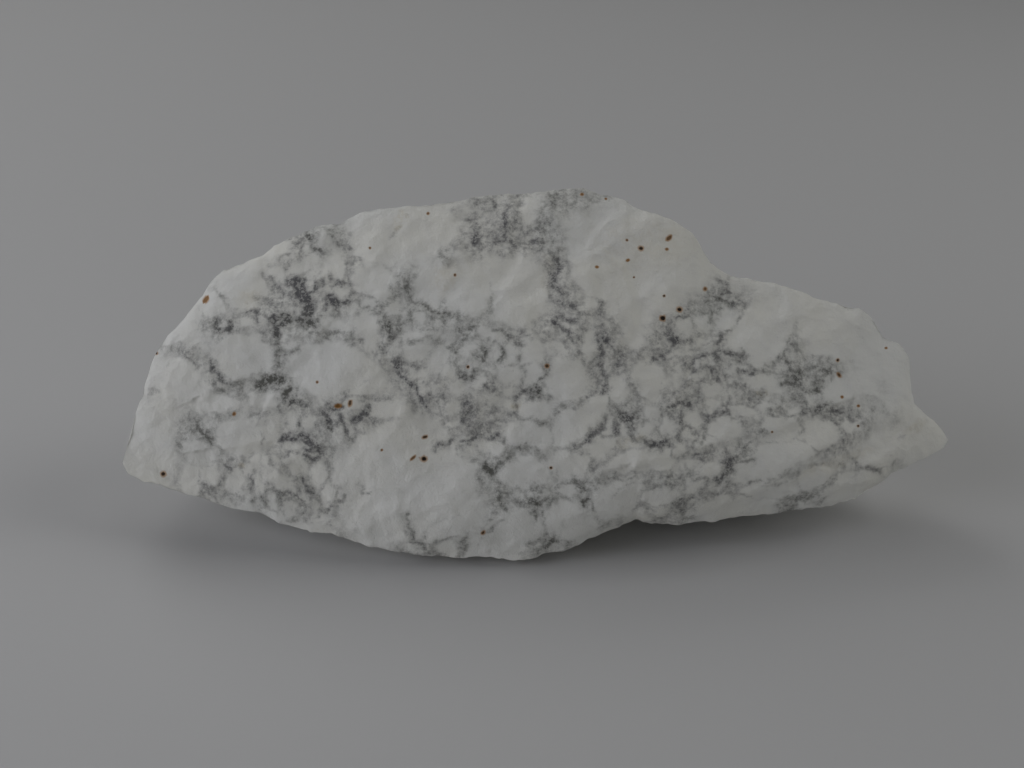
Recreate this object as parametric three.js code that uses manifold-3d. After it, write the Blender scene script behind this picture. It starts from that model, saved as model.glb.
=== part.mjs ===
// Rough magnesite: one broken lump of a white nodule, 169 mm long.
//
// The lump has a broad broken face that leans back, a keel that runs into a flat foot, two raised
// ends that hang clear of the ground, and a steep broken back. Millimetres, +Z up, X along the
// lump, -Y towards the broad face. The origin is on the ground under the middle of the lump.
//
// The surface is two sheets that meet at the rim of the broad face. Both are worked out over the
// leaning plane of that face: across it (u, along X), up it (w), and down into the stone (depth).

import * as THREE from "three";
import { mergeVertices } from "three/addons/utils/BufferGeometryUtils.js";
import Module from "manifold-3d";

// ---------------------------------------------------------------- driving dimensions
const LEAN = THREE.MathUtils.degToRad(27); // the broad face leans back from upright
const SIGHT_LENGTH = 284.4; // the rim is laid out as seen from this far in front of the face
const SIGHT_SHIFT = -4.6; // u of the point that it is seen from
const FACE_HEIGHT = 33; // height of the leaning plane's own origin above the ground
const FACE_SETBACK = -12.6; // y of the same point
const FACE_SHIFT = -0.4; // and its x
const STONE_DEPTH = 47; // how far the back lies behind the rim at the middle
const HALF_LENGTH = 82.5;
const FOOT_LEFT = -36; // the flat foot runs from here along the lump
const FOOT_RIGHT = 16; // to here, where the underside rises again
const SOFTNESS = 1.3; // how far two broken planes of the face are blended where they meet
const BACK_SOFTNESS = 1.1; // and those of the back
const LIP_DEPTH = 1.4; // the rim is rounded over about this depth
const GRAIN = THREE.MathUtils.degToRad(28); // the grain of the break rises to the right
const LEFT_RISE = 0.33; // slope of the underside from the foot up to the left tip
const RIGHT_RISE = 0.24; // and up to the right tip

const STATIONS = 68; // loops from the left tip to the right tip
const FRONT_STEPS = 27; // faces across the broad face in one loop
const BACK_STEPS = 25; // faces across the back in one loop
const BURIED = 4; // the lump runs this far below the ground before its foot is cut flat

// The rim of the broad face as [u, w], both from the left tip to the right tip.
const UPPER_RIM = [
  [-82.5, -15.8], [-81.0, -9.8], [-79.2, -4.0], [-77.4, 2.8], [-74.6, 8.6], [-69.6, 14.0],
  [-65.2, 20.2], [-62.4, 23.0], [-57.6, 24.6], [-49.0, 29.2], [-44.6, 31.2], [-38.4, 32.6],
  [-34.0, 34.6], [-27.0, 35.4], [-16.0, 36.6], [-7.0, 38.0], [1.0, 38.6], [7.0, 39.2],
  [13.0, 38.2], [18.0, 37.0], [22.0, 34.8], [28.0, 32.6], [31.4, 30.4], [34.6, 25.0],
  [38.8, 21.8], [42.0, 21.0], [50.0, 19.4], [57.6, 17.0], [65.0, 15.2], [69.6, 9.4],
  [73.6, 7.2], [75.2, 1.8], [75.8, -4.0], [79.8, -7.2], [82.6, -11.2],
];
const LOWER_RIM = [
  [-82.5, -15.8], [-79.6, -19.0], [-74.0, -20.6], [-67.0, -22.8], [-58.0, -25.6], [-51.0, -27.8],
  [-42.0, -30.0], [-33.0, -32.4], [-27.0, -33.8], [-15.0, -35.0], [-4.6, -35.4], [2.0, -34.6],
  [8.0, -32.4], [13.0, -29.6], [19.4, -27.4], [25.0, -27.8], [35.6, -27.0], [46.4, -26.0],
  [57.0, -24.8], [64.0, -23.2], [69.4, -19.6], [74.0, -16.6], [80.0, -13.8], [82.6, -11.2],
];

// The bow along which the face rolls under: its lowest point as [u, w], and how fast it rises.
const BOW_LOWEST = [-8, -35.4];
const BOW_LEFT = 0.0033;
const BOW_RIGHT = 0.0021;

// Scarps on the broad face: a line of [u, w] points, how deep the break is on its right-hand side
// (seen from the first point to the last) and how far it takes to fade out.
const SCARPS = [
  { line: [[21, 35.8], [17, 34.2], [14, 31.8], [12, 28.8], [11, 25.8], [4, 21]], deep: 0.9, fade: 9 },
  { line: [[13, 25.8], [17, 23.8], [18.6, 18.8], [19.4, 12.8], [18, 9.8]], deep: -1.1, fade: 7 },
  { line: [[-1, 26.8], [-3.5, 22], [-6, 18.8]], deep: 1.0, fade: 8 },
  { line: [[45, 17.2], [41, 14.8], [37.4, 9.8], [33, 4]], deep: 1.3, fade: 14 },
  { line: [[78.6, -7.6], [74, -11.2], [72, -13.2], [66, -17]], deep: 0.9, fade: 8 },
  { line: [[65.4, -0.2], [69, -3.2], [68.2, -8.2]], deep: -0.8, fade: 6 },
  { line: [[-28, 5.4], [-26, 2.8], [-24, -0.2], [-21, -4.2], [-19, -6.2]], deep: 0.7, fade: 9 },
  { line: [[-66, -2], [-58, 2], [-50, 3], [-44, 9]], deep: 0.8, fade: 9 },
  { line: [[-64, -13], [-52, -11], [-44, -16], [-40, -24]], deep: 0.9, fade: 10 },
  { line: [[20, -16], [34, -12], [48, -9], [58, -5]], deep: 1.0, fade: 9 },
];

// The broken planes of the broad face: how far each stands proud of the rim, and its slopes.
const FACE_PLANES = [
  { proud: 9.5, alongU: 0.02, alongW: -0.03 }, // the middle
  { proud: 1.6 + 0.36 * HALF_LENGTH, alongU: 0.36, alongW: 0 }, // the left end
  { proud: 1.0 + 0.3 * HALF_LENGTH, alongU: -0.3, alongW: 0 }, // the right end
  { proud: 15.4, alongU: -0.17, alongW: -0.1 }, // the right shoulder
  { proud: 10.5, alongU: 0.1, alongW: 0.16 }, // the lower left
];

// The broken planes of the back: how deep each lies behind the rim, and its slope along u and w.
const BACK_PLANES = [
  { depth: STONE_DEPTH + 3, alongU: -0.5, alongW: 0.1 }, // the right end
  { depth: STONE_DEPTH + 5, alongU: 0.42, alongW: -0.25 }, // the left end
  { depth: STONE_DEPTH - 7, alongU: 0.12, alongW: -0.85 }, // under the crest
  { depth: STONE_DEPTH - 3, alongU: -0.16, alongW: -0.2 }, // the middle
  { depth: STONE_DEPTH + 8, alongU: -0.1, alongW: 0.75 }, // above the foot
];

// ---------------------------------------------------------------- small sums

// The smaller of several values, rounded off where two of them meet.
function softMin(values, soft) {
  const least = Math.min(...values);
  const sum = values.reduce((total, value) => total + Math.exp((least - value) / soft), 0);
  return least - soft * Math.log(sum);
}

// A fixed random number from 0 to 1 for each corner of a lattice.
function cornerValue(i, j, k) {
  const wave = Math.sin(i * 127.1 + j * 311.7 + k * 74.7) * 43758.5453;
  return wave - Math.floor(wave);
}

// Smooth noise from -1 to 1: the corner values of a unit lattice, eased between.
function noise(x, y, z) {
  const [i, j, k] = [Math.floor(x), Math.floor(y), Math.floor(z)];
  const ease = (share) => share * share * (3 - 2 * share);
  const [a, b, c] = [ease(x - i), ease(y - j), ease(z - k)];
  const mix = THREE.MathUtils.lerp;
  const edge = (dj, dk) => mix(cornerValue(i, j + dj, k + dk), cornerValue(i + 1, j + dj, k + dk), a);
  return 2 * mix(mix(edge(0, 0), edge(1, 0), b), mix(edge(0, 1), edge(1, 1), b), c) - 1;
}

// Broken lumps: each octave is creased noise, half the size and a little over half the height.
function hackle(u, w, size, layer, octaves = 3) {
  let [sum, height, scale] = [0, 1, 1 / size];
  for (let octave = 0; octave < octaves; octave += 1) {
    const value = noise(u * scale, w * scale, layer + 7.3 * octave);
    sum += height * (1 - 2.2 * Math.abs(value));
    height *= 0.55;
    scale *= 2;
  }
  return sum;
}

// Scoops of a shelly break, from about -1 to 1: the lowest of the bowls round a point, one bowl to
// each cell of a lattice, so neighbours meet in a sharp ridge.
function scoops(u, w, size, layer) {
  const [x, y] = [u / size, w / size];
  let least = Infinity;
  for (let i = Math.floor(x) - 1; i <= Math.floor(x) + 1; i += 1) {
    for (let j = Math.floor(y) - 1; j <= Math.floor(y) + 1; j += 1) {
      const dx = x - i - 0.15 - 0.7 * cornerValue(i, j, layer);
      const dy = y - j - 0.15 - 0.7 * cornerValue(i, j, layer + 1);
      const tilt = dx * (cornerValue(i, j, layer + 2) - 0.5) + dy * (cornerValue(i, j, layer + 3) - 0.5);
      const bowl = 0.5 * cornerValue(i, j, layer + 4) + 0.8 * tilt + 0.8 * (dx * dx + dy * dy);
      least = Math.min(least, bowl);
    }
  }
  return 2.5 * least - 1;
}

// Signed distance from a point to a line of points: positive on the right-hand side.
function sideDistance(u, w, line) {
  let [best, side] = [Infinity, 1];
  for (let n = 0; n < line.length - 1; n += 1) {
    const [[u0, w0], [u1, w1]] = [line[n], line[n + 1]];
    const [du, dw] = [u1 - u0, w1 - w0];
    const share = ((u - u0) * du + (w - w0) * dw) / (du * du + dw * dw);
    const near = THREE.MathUtils.clamp(share, 0, 1);
    const distance = Math.hypot(u - u0 - near * du, w - w0 - near * dw);
    if (distance < best) {
      best = distance;
      side = (u - u0) * dw - (w - w0) * du > 0 ? 1 : -1;
    }
  }
  return side * best;
}

// ---------------------------------------------------------------- the form

// How far the rim itself lies behind the leaning plane: it sweeps back at the top and the ends.
function rimDepth(u, w) {
  const along = u / HALF_LENGTH;
  return 1.2 + 0.1 * w + 0.0013 * w * w + 5.5 * along * along + 1.5 * along;
}

// Where the face starts to roll under: an even bow just below the chipped lower rim.
function bowOf(u) {
  const beside = u - BOW_LOWEST[0];
  return BOW_LOWEST[1] + (beside < 0 ? BOW_LEFT : BOW_RIGHT) * beside * beside;
}

// How deep the broken scarps cut at a point of the broad face.
function scarpDepth(u, w) {
  return SCARPS.reduce((sum, { line, deep, fade }) => {
    const distance = sideDistance(u, w, line) * Math.sign(deep);
    if (distance <= 0 || distance >= fade) return sum;
    const rise = THREE.MathUtils.smoothstep(distance, 0, 2.2);
    return sum + Math.abs(deep) * rise * (1 - distance / fade) ** 1.5;
  }, 0);
}

// How far the broad face stands proud of its rim, from the distances to the two rims.
// It is the lowest of several broken planes, with rounded lips, scarps and lumps.
function faceHeight(u, w, toLower, toUpper) {
  const planes = [
    1.2 + 0.62 * (w - bowOf(u)), // rolls under towards the foot
    0.8 + 0.36 * toUpper, // rolls back along the top
    ...FACE_PLANES.map(({ proud, alongU, alongW }) => proud + alongU * u + alongW * w),
  ];
  const lip = 1 - Math.exp(-softMin([toLower / 2.4, toUpper / 0.9], 0.3));
  const inside = THREE.MathUtils.smoothstep(Math.min(toLower, toUpper), 0.5, 6);
  const along = Math.cos(GRAIN) * u + Math.sin(GRAIN) * w;
  const across = Math.cos(GRAIN) * w - Math.sin(GRAIN) * u;
  const lumps =
    0.55 * scoops(0.75 * along, across, 15, 3) +
    0.3 * scoops(0.75 * along, across, 6.5, 9) +
    0.35 * hackle(along, across * 1.5, 21, 3.1);
  return Math.max(lip * (softMin(planes, SOFTNESS) + lumps - inside * scarpDepth(u, w)), 0);
}

// How far behind its rim the underside lies: the ends rise away from the foot, to left and right.
function undersideDepth(u, w) {
  const height = Math.max(LEFT_RISE * (FOOT_LEFT - u), RIGHT_RISE * (u - FOOT_RIGHT), -BURIED);
  return (FACE_HEIGHT + w * Math.cos(LEAN) - height) / Math.sin(LEAN) - rimDepth(u, w);
}

// How thick the stone is behind its rim: the lowest of the undersides and the planes of the back.
function backDepth(u, w, toLower, toUpper) {
  const bevel = 7 + 4 * noise(u / 17, 4.4, 0.5); // the break along the crest is wide or narrow
  const planes = [
    4.2 * toLower, // the lower lip, down to the underside
    Math.max(undersideDepth(u, w), 0.5 * toLower),
    3.1 * toUpper, // the broken top, behind the crest
    bevel + 1.1 * toUpper, // the back below it
    ...BACK_PLANES.map(({ depth, alongU, alongW }) => depth + alongU * u + alongW * w),
  ];
  const rim = Math.min(toLower, toUpper);
  const lip = 1 - Math.exp(-rim / 1.1);
  const fade = THREE.MathUtils.smoothstep(rim, 0, 9);
  const lumps =
    3.4 * scoops(u - 0.3 * w, w, 25, 15) +
    1.5 * scoops(u, w + 0.2 * u, 11, 21) +
    0.5 * hackle(u + 0.3 * w, 1.2 * w, 25, 21.5);
  return Math.max(lip * (softMin(planes, BACK_SOFTNESS) + LIP_DEPTH) + fade * lumps, 0);
}

// Carries a point of the leaning plane into the stone: it spreads as it goes away from the sight
// point, so the rim keeps the same outline from there at any depth.
function carry(u, w, depth) {
  const spread = 1 + depth / SIGHT_LENGTH;
  const rise = w * spread;
  return new THREE.Vector3(
    FACE_SHIFT + SIGHT_SHIFT + (u - SIGHT_SHIFT) * spread,
    FACE_SETBACK + rise * Math.sin(LEAN) + depth * Math.cos(LEAN),
    Math.max(FACE_HEIGHT + rise * Math.cos(LEAN) - depth * Math.sin(LEAN), -BURIED),
  );
}

// Shares from 0 to 1 that crowd towards both ends, where the sheets bend over the rim.
function crowdedShares(steps) {
  return Array.from({ length: steps + 1 }, (_, n) => {
    const even = n / steps;
    return 0.45 * even + 0.55 * 0.5 * (1 - Math.cos(Math.PI * even));
  });
}

// One closed loop round the stone at a station: up the broad face, then down the back.
function loopAt(low, high) {
  const span = low.distanceTo(high);
  const place = (share) => low.clone().lerp(high, share);
  const front = crowdedShares(FRONT_STEPS).map((share) => {
    const { x: u, y: w } = place(share);
    return carry(u, w, rimDepth(u, w) - faceHeight(u, w, share * span, (1 - share) * span));
  });
  const back = crowdedShares(BACK_STEPS).slice(1, -1).reverse().map((share) => {
    const { x: u, y: w } = place(share);
    return carry(u, w, rimDepth(u, w) + backDepth(u, w, share * span, (1 - share) * span));
  });
  return [...front, ...back];
}

// The closed surface: a tip, the loops between, and the other tip.
function stoneGeometry() {
  const rim = (points) => new THREE.Path(points.map(([u, w]) => new THREE.Vector2(u, w)));
  const lower = rim(LOWER_RIM).getSpacedPoints(STATIONS);
  const upper = rim(UPPER_RIM).getSpacedPoints(STATIONS);
  const tip = ({ x: u, y: w }) => carry(u, w, rimDepth(u, w));
  const loops = lower.slice(1, -1).map((low, n) => loopAt(low, upper[n + 1]));
  const around = loops[0].length;
  const points = [tip(lower[0]), ...loops.flat(), tip(lower[STATIONS])];
  const last = points.length - 1;
  const at = (loop, n) => 1 + loop * around + (n % around);
  const faces = [];
  for (let n = 0; n < around; n += 1) {
    faces.push(0, at(0, n), at(0, n + 1));
    faces.push(last, at(loops.length - 1, n + 1), at(loops.length - 1, n));
    for (let loop = 0; loop < loops.length - 1; loop += 1) {
      faces.push(at(loop, n), at(loop + 1, n), at(loop + 1, n + 1));
      faces.push(at(loop, n), at(loop + 1, n + 1), at(loop, n + 1));
    }
  }
  return new THREE.BufferGeometry().setFromPoints(points).setIndex(faces);
}

// ---------------------------------------------------------------- the flat foot

const wasm = await Module();
wasm.setup();

function solidOf(geometry) {
  const bare = geometry.clone();
  bare.deleteAttribute("normal");
  bare.deleteAttribute("uv");
  const merged = mergeVertices(bare);
  return new wasm.Manifold(new wasm.Mesh({
    numProp: 3,
    vertProperties: merged.attributes.position.array,
    triVerts: new Uint32Array(merged.index.array),
  }));
}

function geometryOf(solid) {
  const { vertProperties, triVerts } = solid.getMesh();
  const geometry = new THREE.BufferGeometry();
  geometry.setAttribute("position", new THREE.BufferAttribute(vertProperties, 3));
  geometry.setIndex(new THREE.BufferAttribute(triVerts, 1));
  geometry.computeVertexNormals();
  return geometry;
}

const ground = new THREE.BoxGeometry(300, 300, 40).translate(0, 0, -20);
const stoneSolid = solidOf(stoneGeometry()).subtract(solidOf(ground));

const stone = new THREE.Mesh(
  geometryOf(stoneSolid),
  new THREE.MeshStandardMaterial({ color: 0xe9e8e3, roughness: 0.9, metalness: 0 }),
);
stone.name = "magnesite_stone";

const group = new THREE.Group();
group.add(stone);

export default group;
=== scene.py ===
# %% [markdown]
# # A lump of rough magnesite
#
# Magnesite often grows as white nodules in broken rock. This lump is 169 mm long and dull white, like
# unglazed porcelain, with a net of soft grey veins where thin films of darker mineral run between the
# white nodules, and a few rust specks. One side is a broad broken face that leans back; below it the
# stone runs into a small flat foot, so both ends hang clear of the ground.
#
# The stone is one surface worked out with numpy as a function of two numbers. Its veins are strokes and
# its nodules ellipses, laid over the broad face, and a node material turns them into the cloudy,
# grainy marks of the mineral. The script loads the imported solid first, because that solid fixes the frame
# that everything is made in.

# %% Load the frame
import math

import bmesh
import bpy
import numpy as np
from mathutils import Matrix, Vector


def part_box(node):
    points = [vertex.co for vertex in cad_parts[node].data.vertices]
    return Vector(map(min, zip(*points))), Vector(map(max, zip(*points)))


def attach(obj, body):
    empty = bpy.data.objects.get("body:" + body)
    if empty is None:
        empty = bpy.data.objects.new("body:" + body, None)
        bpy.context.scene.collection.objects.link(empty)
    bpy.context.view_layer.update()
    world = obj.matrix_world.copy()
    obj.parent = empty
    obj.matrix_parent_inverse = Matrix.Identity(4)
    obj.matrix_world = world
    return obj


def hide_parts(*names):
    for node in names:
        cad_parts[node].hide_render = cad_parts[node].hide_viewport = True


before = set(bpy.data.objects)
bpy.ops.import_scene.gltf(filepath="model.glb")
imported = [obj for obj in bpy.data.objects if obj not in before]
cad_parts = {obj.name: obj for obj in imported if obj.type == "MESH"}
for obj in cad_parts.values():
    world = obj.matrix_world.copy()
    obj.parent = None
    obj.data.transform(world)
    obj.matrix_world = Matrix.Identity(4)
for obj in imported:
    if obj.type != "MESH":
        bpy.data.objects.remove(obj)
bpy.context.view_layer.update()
CAD_NODE = "magnesite_stone"
scene = bpy.context.scene
MM = 0.001  # the stone is worked out in millimetres, and its mesh is in metres

lowest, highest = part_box(CAD_NODE)
print("The solid stone measures", [round(size / MM, 1) for size in highest - lowest], "mm")

# %% [markdown]
# ## The driving sizes
#
# These are the sizes that the solid was made from. The broad face is laid out on a plane that leans back
# by 27 degrees, with u along the lump and w up the plane. Its rim is drawn as it looks from a point far in
# front, and a point that lies deeper in the stone spreads out from that sight point, so the rim keeps its
# outline from there whatever its depth is.

# %% Driving sizes, in millimetres
LEAN = math.radians(27)  # the broad face leans back from upright
SIGHT_LENGTH = 284.4  # the rim is drawn as seen from this far in front of the face
SIGHT_SHIFT = -4.6  # u of the sight point
FACE_HEIGHT = 33.0  # height of the leaning plane's origin above the ground
FACE_SETBACK = -12.6  # y of that origin
FACE_SHIFT = -0.4  # and its x
STONE_DEPTH = 47.0  # how far the back lies behind the rim
HALF_LENGTH = 82.5
FOOT_LEFT = -36.0  # the flat foot runs from here along the lump
FOOT_RIGHT = 16.0  # to here
LEFT_RISE = 0.33  # slope of the underside from the foot up to the left tip
RIGHT_RISE = 0.24  # and up to the right tip
SOFTNESS = 1.3  # how far two broken planes of the face are blended
BACK_SOFTNESS = 1.1  # and two of the back
LIP_DEPTH = 1.4  # the rim is rounded over about this depth
GRAIN = math.radians(28)  # the grain of the break rises to the right
BURIED = 4.0  # the surface runs this far below the ground before the foot is cut
OCTAVES = 3  # broken lumps are creased at this many sizes
SCARP_WIDTH = 2.2  # a scarp drops to its full depth over this distance
EVEN_PART = 0.45  # this part of the steps in a ring is even, and the rest crowds towards the rim

STATIONS = 400  # steps from the left tip to the right tip, with a ring of points between each two
FRONT_STEPS = 166  # faces up the broad face in one ring
BACK_STEPS = 82  # faces down the back in one ring

# %% The rim of the broad face, from the left tip to the right tip
UPPER_RIM = [
    (-82.5, -15.8), (-81.8, -13.2), (-81.0, -9.8), (-80.2, -7.0), (-79.2, -4.0), (-78.4, -2.4),
    (-78.0, 0.0), (-77.4, 2.8), (-76.2, 5.6), (-74.6, 8.6), (-71.4, 11.8), (-69.6, 14.0),
    (-66.4, 18.0), (-65.2, 20.2), (-62.4, 23.0), (-60.2, 23.8), (-57.6, 24.6), (-54.6, 25.8),
    (-52.0, 27.6), (-49.0, 29.2), (-46.4, 30.4), (-42.6, 31.8), (-38.4, 32.6), (-37.0, 33.4),
    (-34.0, 34.6), (-31.0, 35.2), (-27.0, 35.4), (-19.0, 36.2), (-13.0, 37.0), (-7.0, 38.0),
    (-4.0, 38.0), (1.0, 38.6), (7.0, 39.2), (9.6, 39.0), (13.0, 38.2), (18.0, 37.0),
    (20.0, 35.6), (22.0, 34.8), (25.0, 34.0), (28.0, 32.6), (31.4, 30.4), (33.2, 27.4),
    (34.6, 25.0), (36.4, 23.2), (38.8, 21.8), (40.4, 21.3), (43.0, 21.0), (46.0, 20.2),
    (50.0, 19.4), (53.0, 18.3), (57.6, 16.9), (61.0, 16.0), (65.0, 15.2), (66.6, 13.8),
    (68.4, 11.6), (69.6, 9.4), (71.0, 8.6), (72.4, 8.2), (73.6, 7.2), (74.8, 5.4),
    (75.2, 1.8), (75.2, -1.6), (75.8, -4.0), (77.6, -5.6), (79.8, -7.2), (81.6, -9.4), (82.6, -11.2),
]
LOWER_RIM = [
    (-82.5, -15.8), (-81.4, -17.8), (-79.6, -19.0), (-77.4, -19.6), (-74.0, -20.6), (-69.4, -22.2),
    (-67.0, -22.8), (-61.0, -24.8), (-58.0, -25.6), (-55.4, -26.0), (-53.4, -26.8), (-51.0, -27.8),
    (-45.0, -29.6), (-42.0, -30.0), (-36.0, -31.4), (-33.0, -32.4), (-30.0, -32.8), (-27.0, -33.8),
    (-23.0, -34.6), (-19.0, -34.8), (-15.0, -35.0), (-11.0, -34.8), (-7.0, -35.0), (-4.6, -35.4),
    (-1.0, -35.0), (2.0, -34.0), (5.6, -33.2), (8.6, -32.2), (11.0, -30.8), (15.0, -29.4),
    (17.0, -28.8), (18.6, -27.8), (20.4, -27.2), (21.6, -27.8), (24.0, -28.0), (27.4, -28.2),
    (31.0, -27.8), (40.0, -26.8), (46.4, -26.0), (53.0, -25.2), (57.0, -24.8), (64.0, -23.2),
    (66.2, -21.8), (69.4, -19.6), (71.4, -17.8), (74.0, -16.6), (80.0, -13.8), (81.8, -12.8),
    (82.6, -11.2),
]
print("The rim is laid out with", len(UPPER_RIM), "points above and", len(LOWER_RIM), "below")

# %% [markdown]
# ## Small sums
#
# A break in stone is made of a few broad planes that meet in soft edges, shelly scoops with sharp ridges
# between them, and finer creased lumps. Each of the next functions takes whole arrays of points at once.
# The lattice noise is the one that the solid was made with, so the dressed stone follows the solid.

# %% Soft edges
def smoothstep(value, low, high):
    """0 up to low, 1 from high, and an S-shaped curve between."""
    share = np.clip((value - low) / (high - low), 0.0, 1.0)
    return share * share * (3 - 2 * share)


def soft_min(values, soft):
    """The smallest of several arrays, rounded where two are close: -soft times the log of the sum of exp."""
    stack = np.stack(np.broadcast_arrays(*values))
    least = stack.min(axis=0)
    return least - soft * np.log(np.exp((least - stack) / soft).sum(axis=0))


# %% Noise on a lattice
def corner_value(i, j, k):
    """A fixed random number from 0 to 1 for each corner of a lattice: the fraction of a large sine."""
    wave = np.sin(i * 127.1 + j * 311.7 + k * 74.7) * 43758.5453
    return wave - np.floor(wave)


def noise(x, y, z):
    """Smooth noise from -1 to 1: the corner values of a unit lattice, eased between along each axis."""
    x, y, z = np.broadcast_arrays(*(np.asarray(value, float) for value in (x, y, z)))
    i, j, k = np.floor(x), np.floor(y), np.floor(z)
    a, b, c = (share * share * (3 - 2 * share) for share in (x - i, y - j, z - k))

    def edge(dj, dk):
        """Eased between the two corners at the ends of one edge of the cell."""
        start = corner_value(i, j + dj, k + dk)
        return start + (corner_value(i + 1, j + dj, k + dk) - start) * a

    lower = edge(0, 0) * (1 - b) + edge(1, 0) * b
    upper = edge(0, 1) * (1 - b) + edge(1, 1) * b
    return 2 * (lower * (1 - c) + upper * c) - 1


# %% Broken lumps and shelly scoops
def hackle(u, w, size, layer):
    """Broken lumps: a sum of creased noise, each octave half the size and 0.55 of the height."""
    total, height, scale = 0.0, 1.0, 1 / size
    for octave in range(OCTAVES):
        total = total + height * (1 - 2.2 * np.abs(noise(u * scale, w * scale, layer + 7.3 * octave)))
        height *= 0.55
        scale *= 2
    return total


def scoops(u, w, size, layer):
    """Shelly scoops from about -1 to 1: the lowest of nine tilted bowls, one to each cell of a lattice."""
    x, y = u / size, w / size
    least = np.full(np.shape(x), np.inf)
    for step_i in (-1, 0, 1):
        for step_j in (-1, 0, 1):
            i, j = np.floor(x) + step_i, np.floor(y) + step_j
            dx = x - i - 0.15 - 0.7 * corner_value(i, j, layer)
            dy = y - j - 0.15 - 0.7 * corner_value(i, j, layer + 1)
            tilt = dx * (corner_value(i, j, layer + 2) - 0.5) + dy * (corner_value(i, j, layer + 3) - 0.5)
            bowl = 0.5 * corner_value(i, j, layer + 4) + 0.8 * tilt + 0.8 * (dx * dx + dy * dy)
            least = np.minimum(least, bowl)
    return 2.5 * least - 1


# %% Distance to a line
def side_distance(u, w, line):
    """Signed distance to a line of points: that of the nearest segment, positive on its right-hand side."""
    best = np.full(np.shape(u), np.inf)
    side = np.ones(np.shape(u))
    for (u0, w0), (u1, w1) in zip(line, line[1:]):
        du, dw = u1 - u0, w1 - w0
        share = np.clip(((u - u0) * du + (w - w0) * dw) / (du * du + dw * dw), 0, 1)
        distance = np.hypot(u - u0 - share * du, w - w0 - share * dw)
        nearer = distance < best
        side = np.where(nearer, np.where((u - u0) * dw - (w - w0) * du > 0, 1.0, -1.0), side)
        best = np.where(nearer, distance, best)
    return side * best


# %% [markdown]
# ## The form
#
# Two sheets meet at the rim: the broad face, and the back with the underside. Each is a height over the
# leaning plane. The face is the lowest of a few broken planes, cut by scarps (small cliffs where a flake
# came off) and roughened by scoops. Near its lower edge it rolls under, below a line bent like a bow. The
# back is the lowest of steeper planes with larger scoops. Sculpting, or noise alone, could also make a
# lump, but a lump of noise has no flat breaks with soft edges between them, and these make it a stone.

# %% Planes and scarps of the break
BOW_LOWEST = (-8, -35.4)  # u and w of the lowest point of the bow
BOW_LEFT = 0.0033  # how fast the bow rises to the left of it
BOW_RIGHT = 0.0021  # and to the right
SCARPS = [  # points of the cliff, how deep it is on its right-hand side, and how far it takes to fade
    ([(21, 35.8), (17, 34.2), (14, 31.8), (12, 28.8), (11, 25.8), (4, 21)], 0.9, 9),
    ([(13, 25.8), (17, 23.8), (18.6, 18.8), (19.4, 12.8), (18, 9.8)], -1.1, 7),
    ([(-1, 26.8), (-3.5, 22), (-6, 18.8)], 1.0, 8),
    ([(45, 17.2), (41, 14.8), (37.4, 9.8), (33, 4)], 1.3, 14),
    ([(78.6, -7.6), (74, -11.2), (72, -13.2), (66, -17)], 0.9, 8),
    ([(65.4, -0.2), (69, -3.2), (68.2, -8.2)], -0.8, 6),
    ([(-28, 5.4), (-26, 2.8), (-24, -0.2), (-21, -4.2), (-19, -6.2)], 0.7, 9),
    ([(-66, -2), (-58, 2), (-50, 3), (-44, 9)], 0.8, 9),
    ([(-64, -13), (-52, -11), (-44, -16), (-40, -24)], 0.9, 10),
    ([(20, -16), (34, -12), (48, -9), (58, -5)], 1.0, 9),
]
FACE_PLANES = [  # how far the plane stands proud of the rim, and its slopes along u and w
    (9.5, 0.02, -0.03),  # the middle
    (1.6 + 0.36 * HALF_LENGTH, 0.36, 0.0),  # the left end
    (1.0 + 0.3 * HALF_LENGTH, -0.3, 0.0),  # the right end
    (15.4, -0.17, -0.1),  # the right shoulder
    (10.5, 0.1, 0.16),  # the lower left
]
BACK_PLANES = [  # how deep the plane lies behind the rim, and its slopes along u and w
    (STONE_DEPTH + 3, -0.5, 0.1),  # the right end
    (STONE_DEPTH + 5, 0.42, -0.25),  # the left end
    (STONE_DEPTH - 7, 0.12, -0.85),  # under the crest
    (STONE_DEPTH - 3, -0.16, -0.2),  # the middle
    (STONE_DEPTH + 8, -0.1, 0.75),  # above the foot
]


# %% The rim, the bow and the scarps as depths
def rim_depth(u, w):
    """How far the rim lies behind the leaning plane: a shallow bowl that sweeps back at the top and ends."""
    along = u / HALF_LENGTH
    return 1.2 + 0.1 * w + 0.0013 * w * w + 5.5 * along * along + 1.5 * along


def bow_of(u):
    """Where the face starts to roll under: a parabola from the lowest point, steeper to the left."""
    beside = u - BOW_LOWEST[0]
    return BOW_LOWEST[1] + np.where(beside < 0, BOW_LEFT, BOW_RIGHT) * beside**2


def scarp_depth(u, w):
    """Each scarp drops over SCARP_WIDTH on its deep side, then fades as a power of the distance left."""
    total = np.zeros(np.shape(u))
    for line, deep, fade in SCARPS:
        distance = side_distance(u, w, line) * np.sign(deep)
        left = np.clip(1 - distance / fade, 0, 1)
        total += abs(deep) * smoothstep(distance, 0, SCARP_WIDTH) * np.where(distance > 0, left, 0) ** 1.5
    return total


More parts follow.
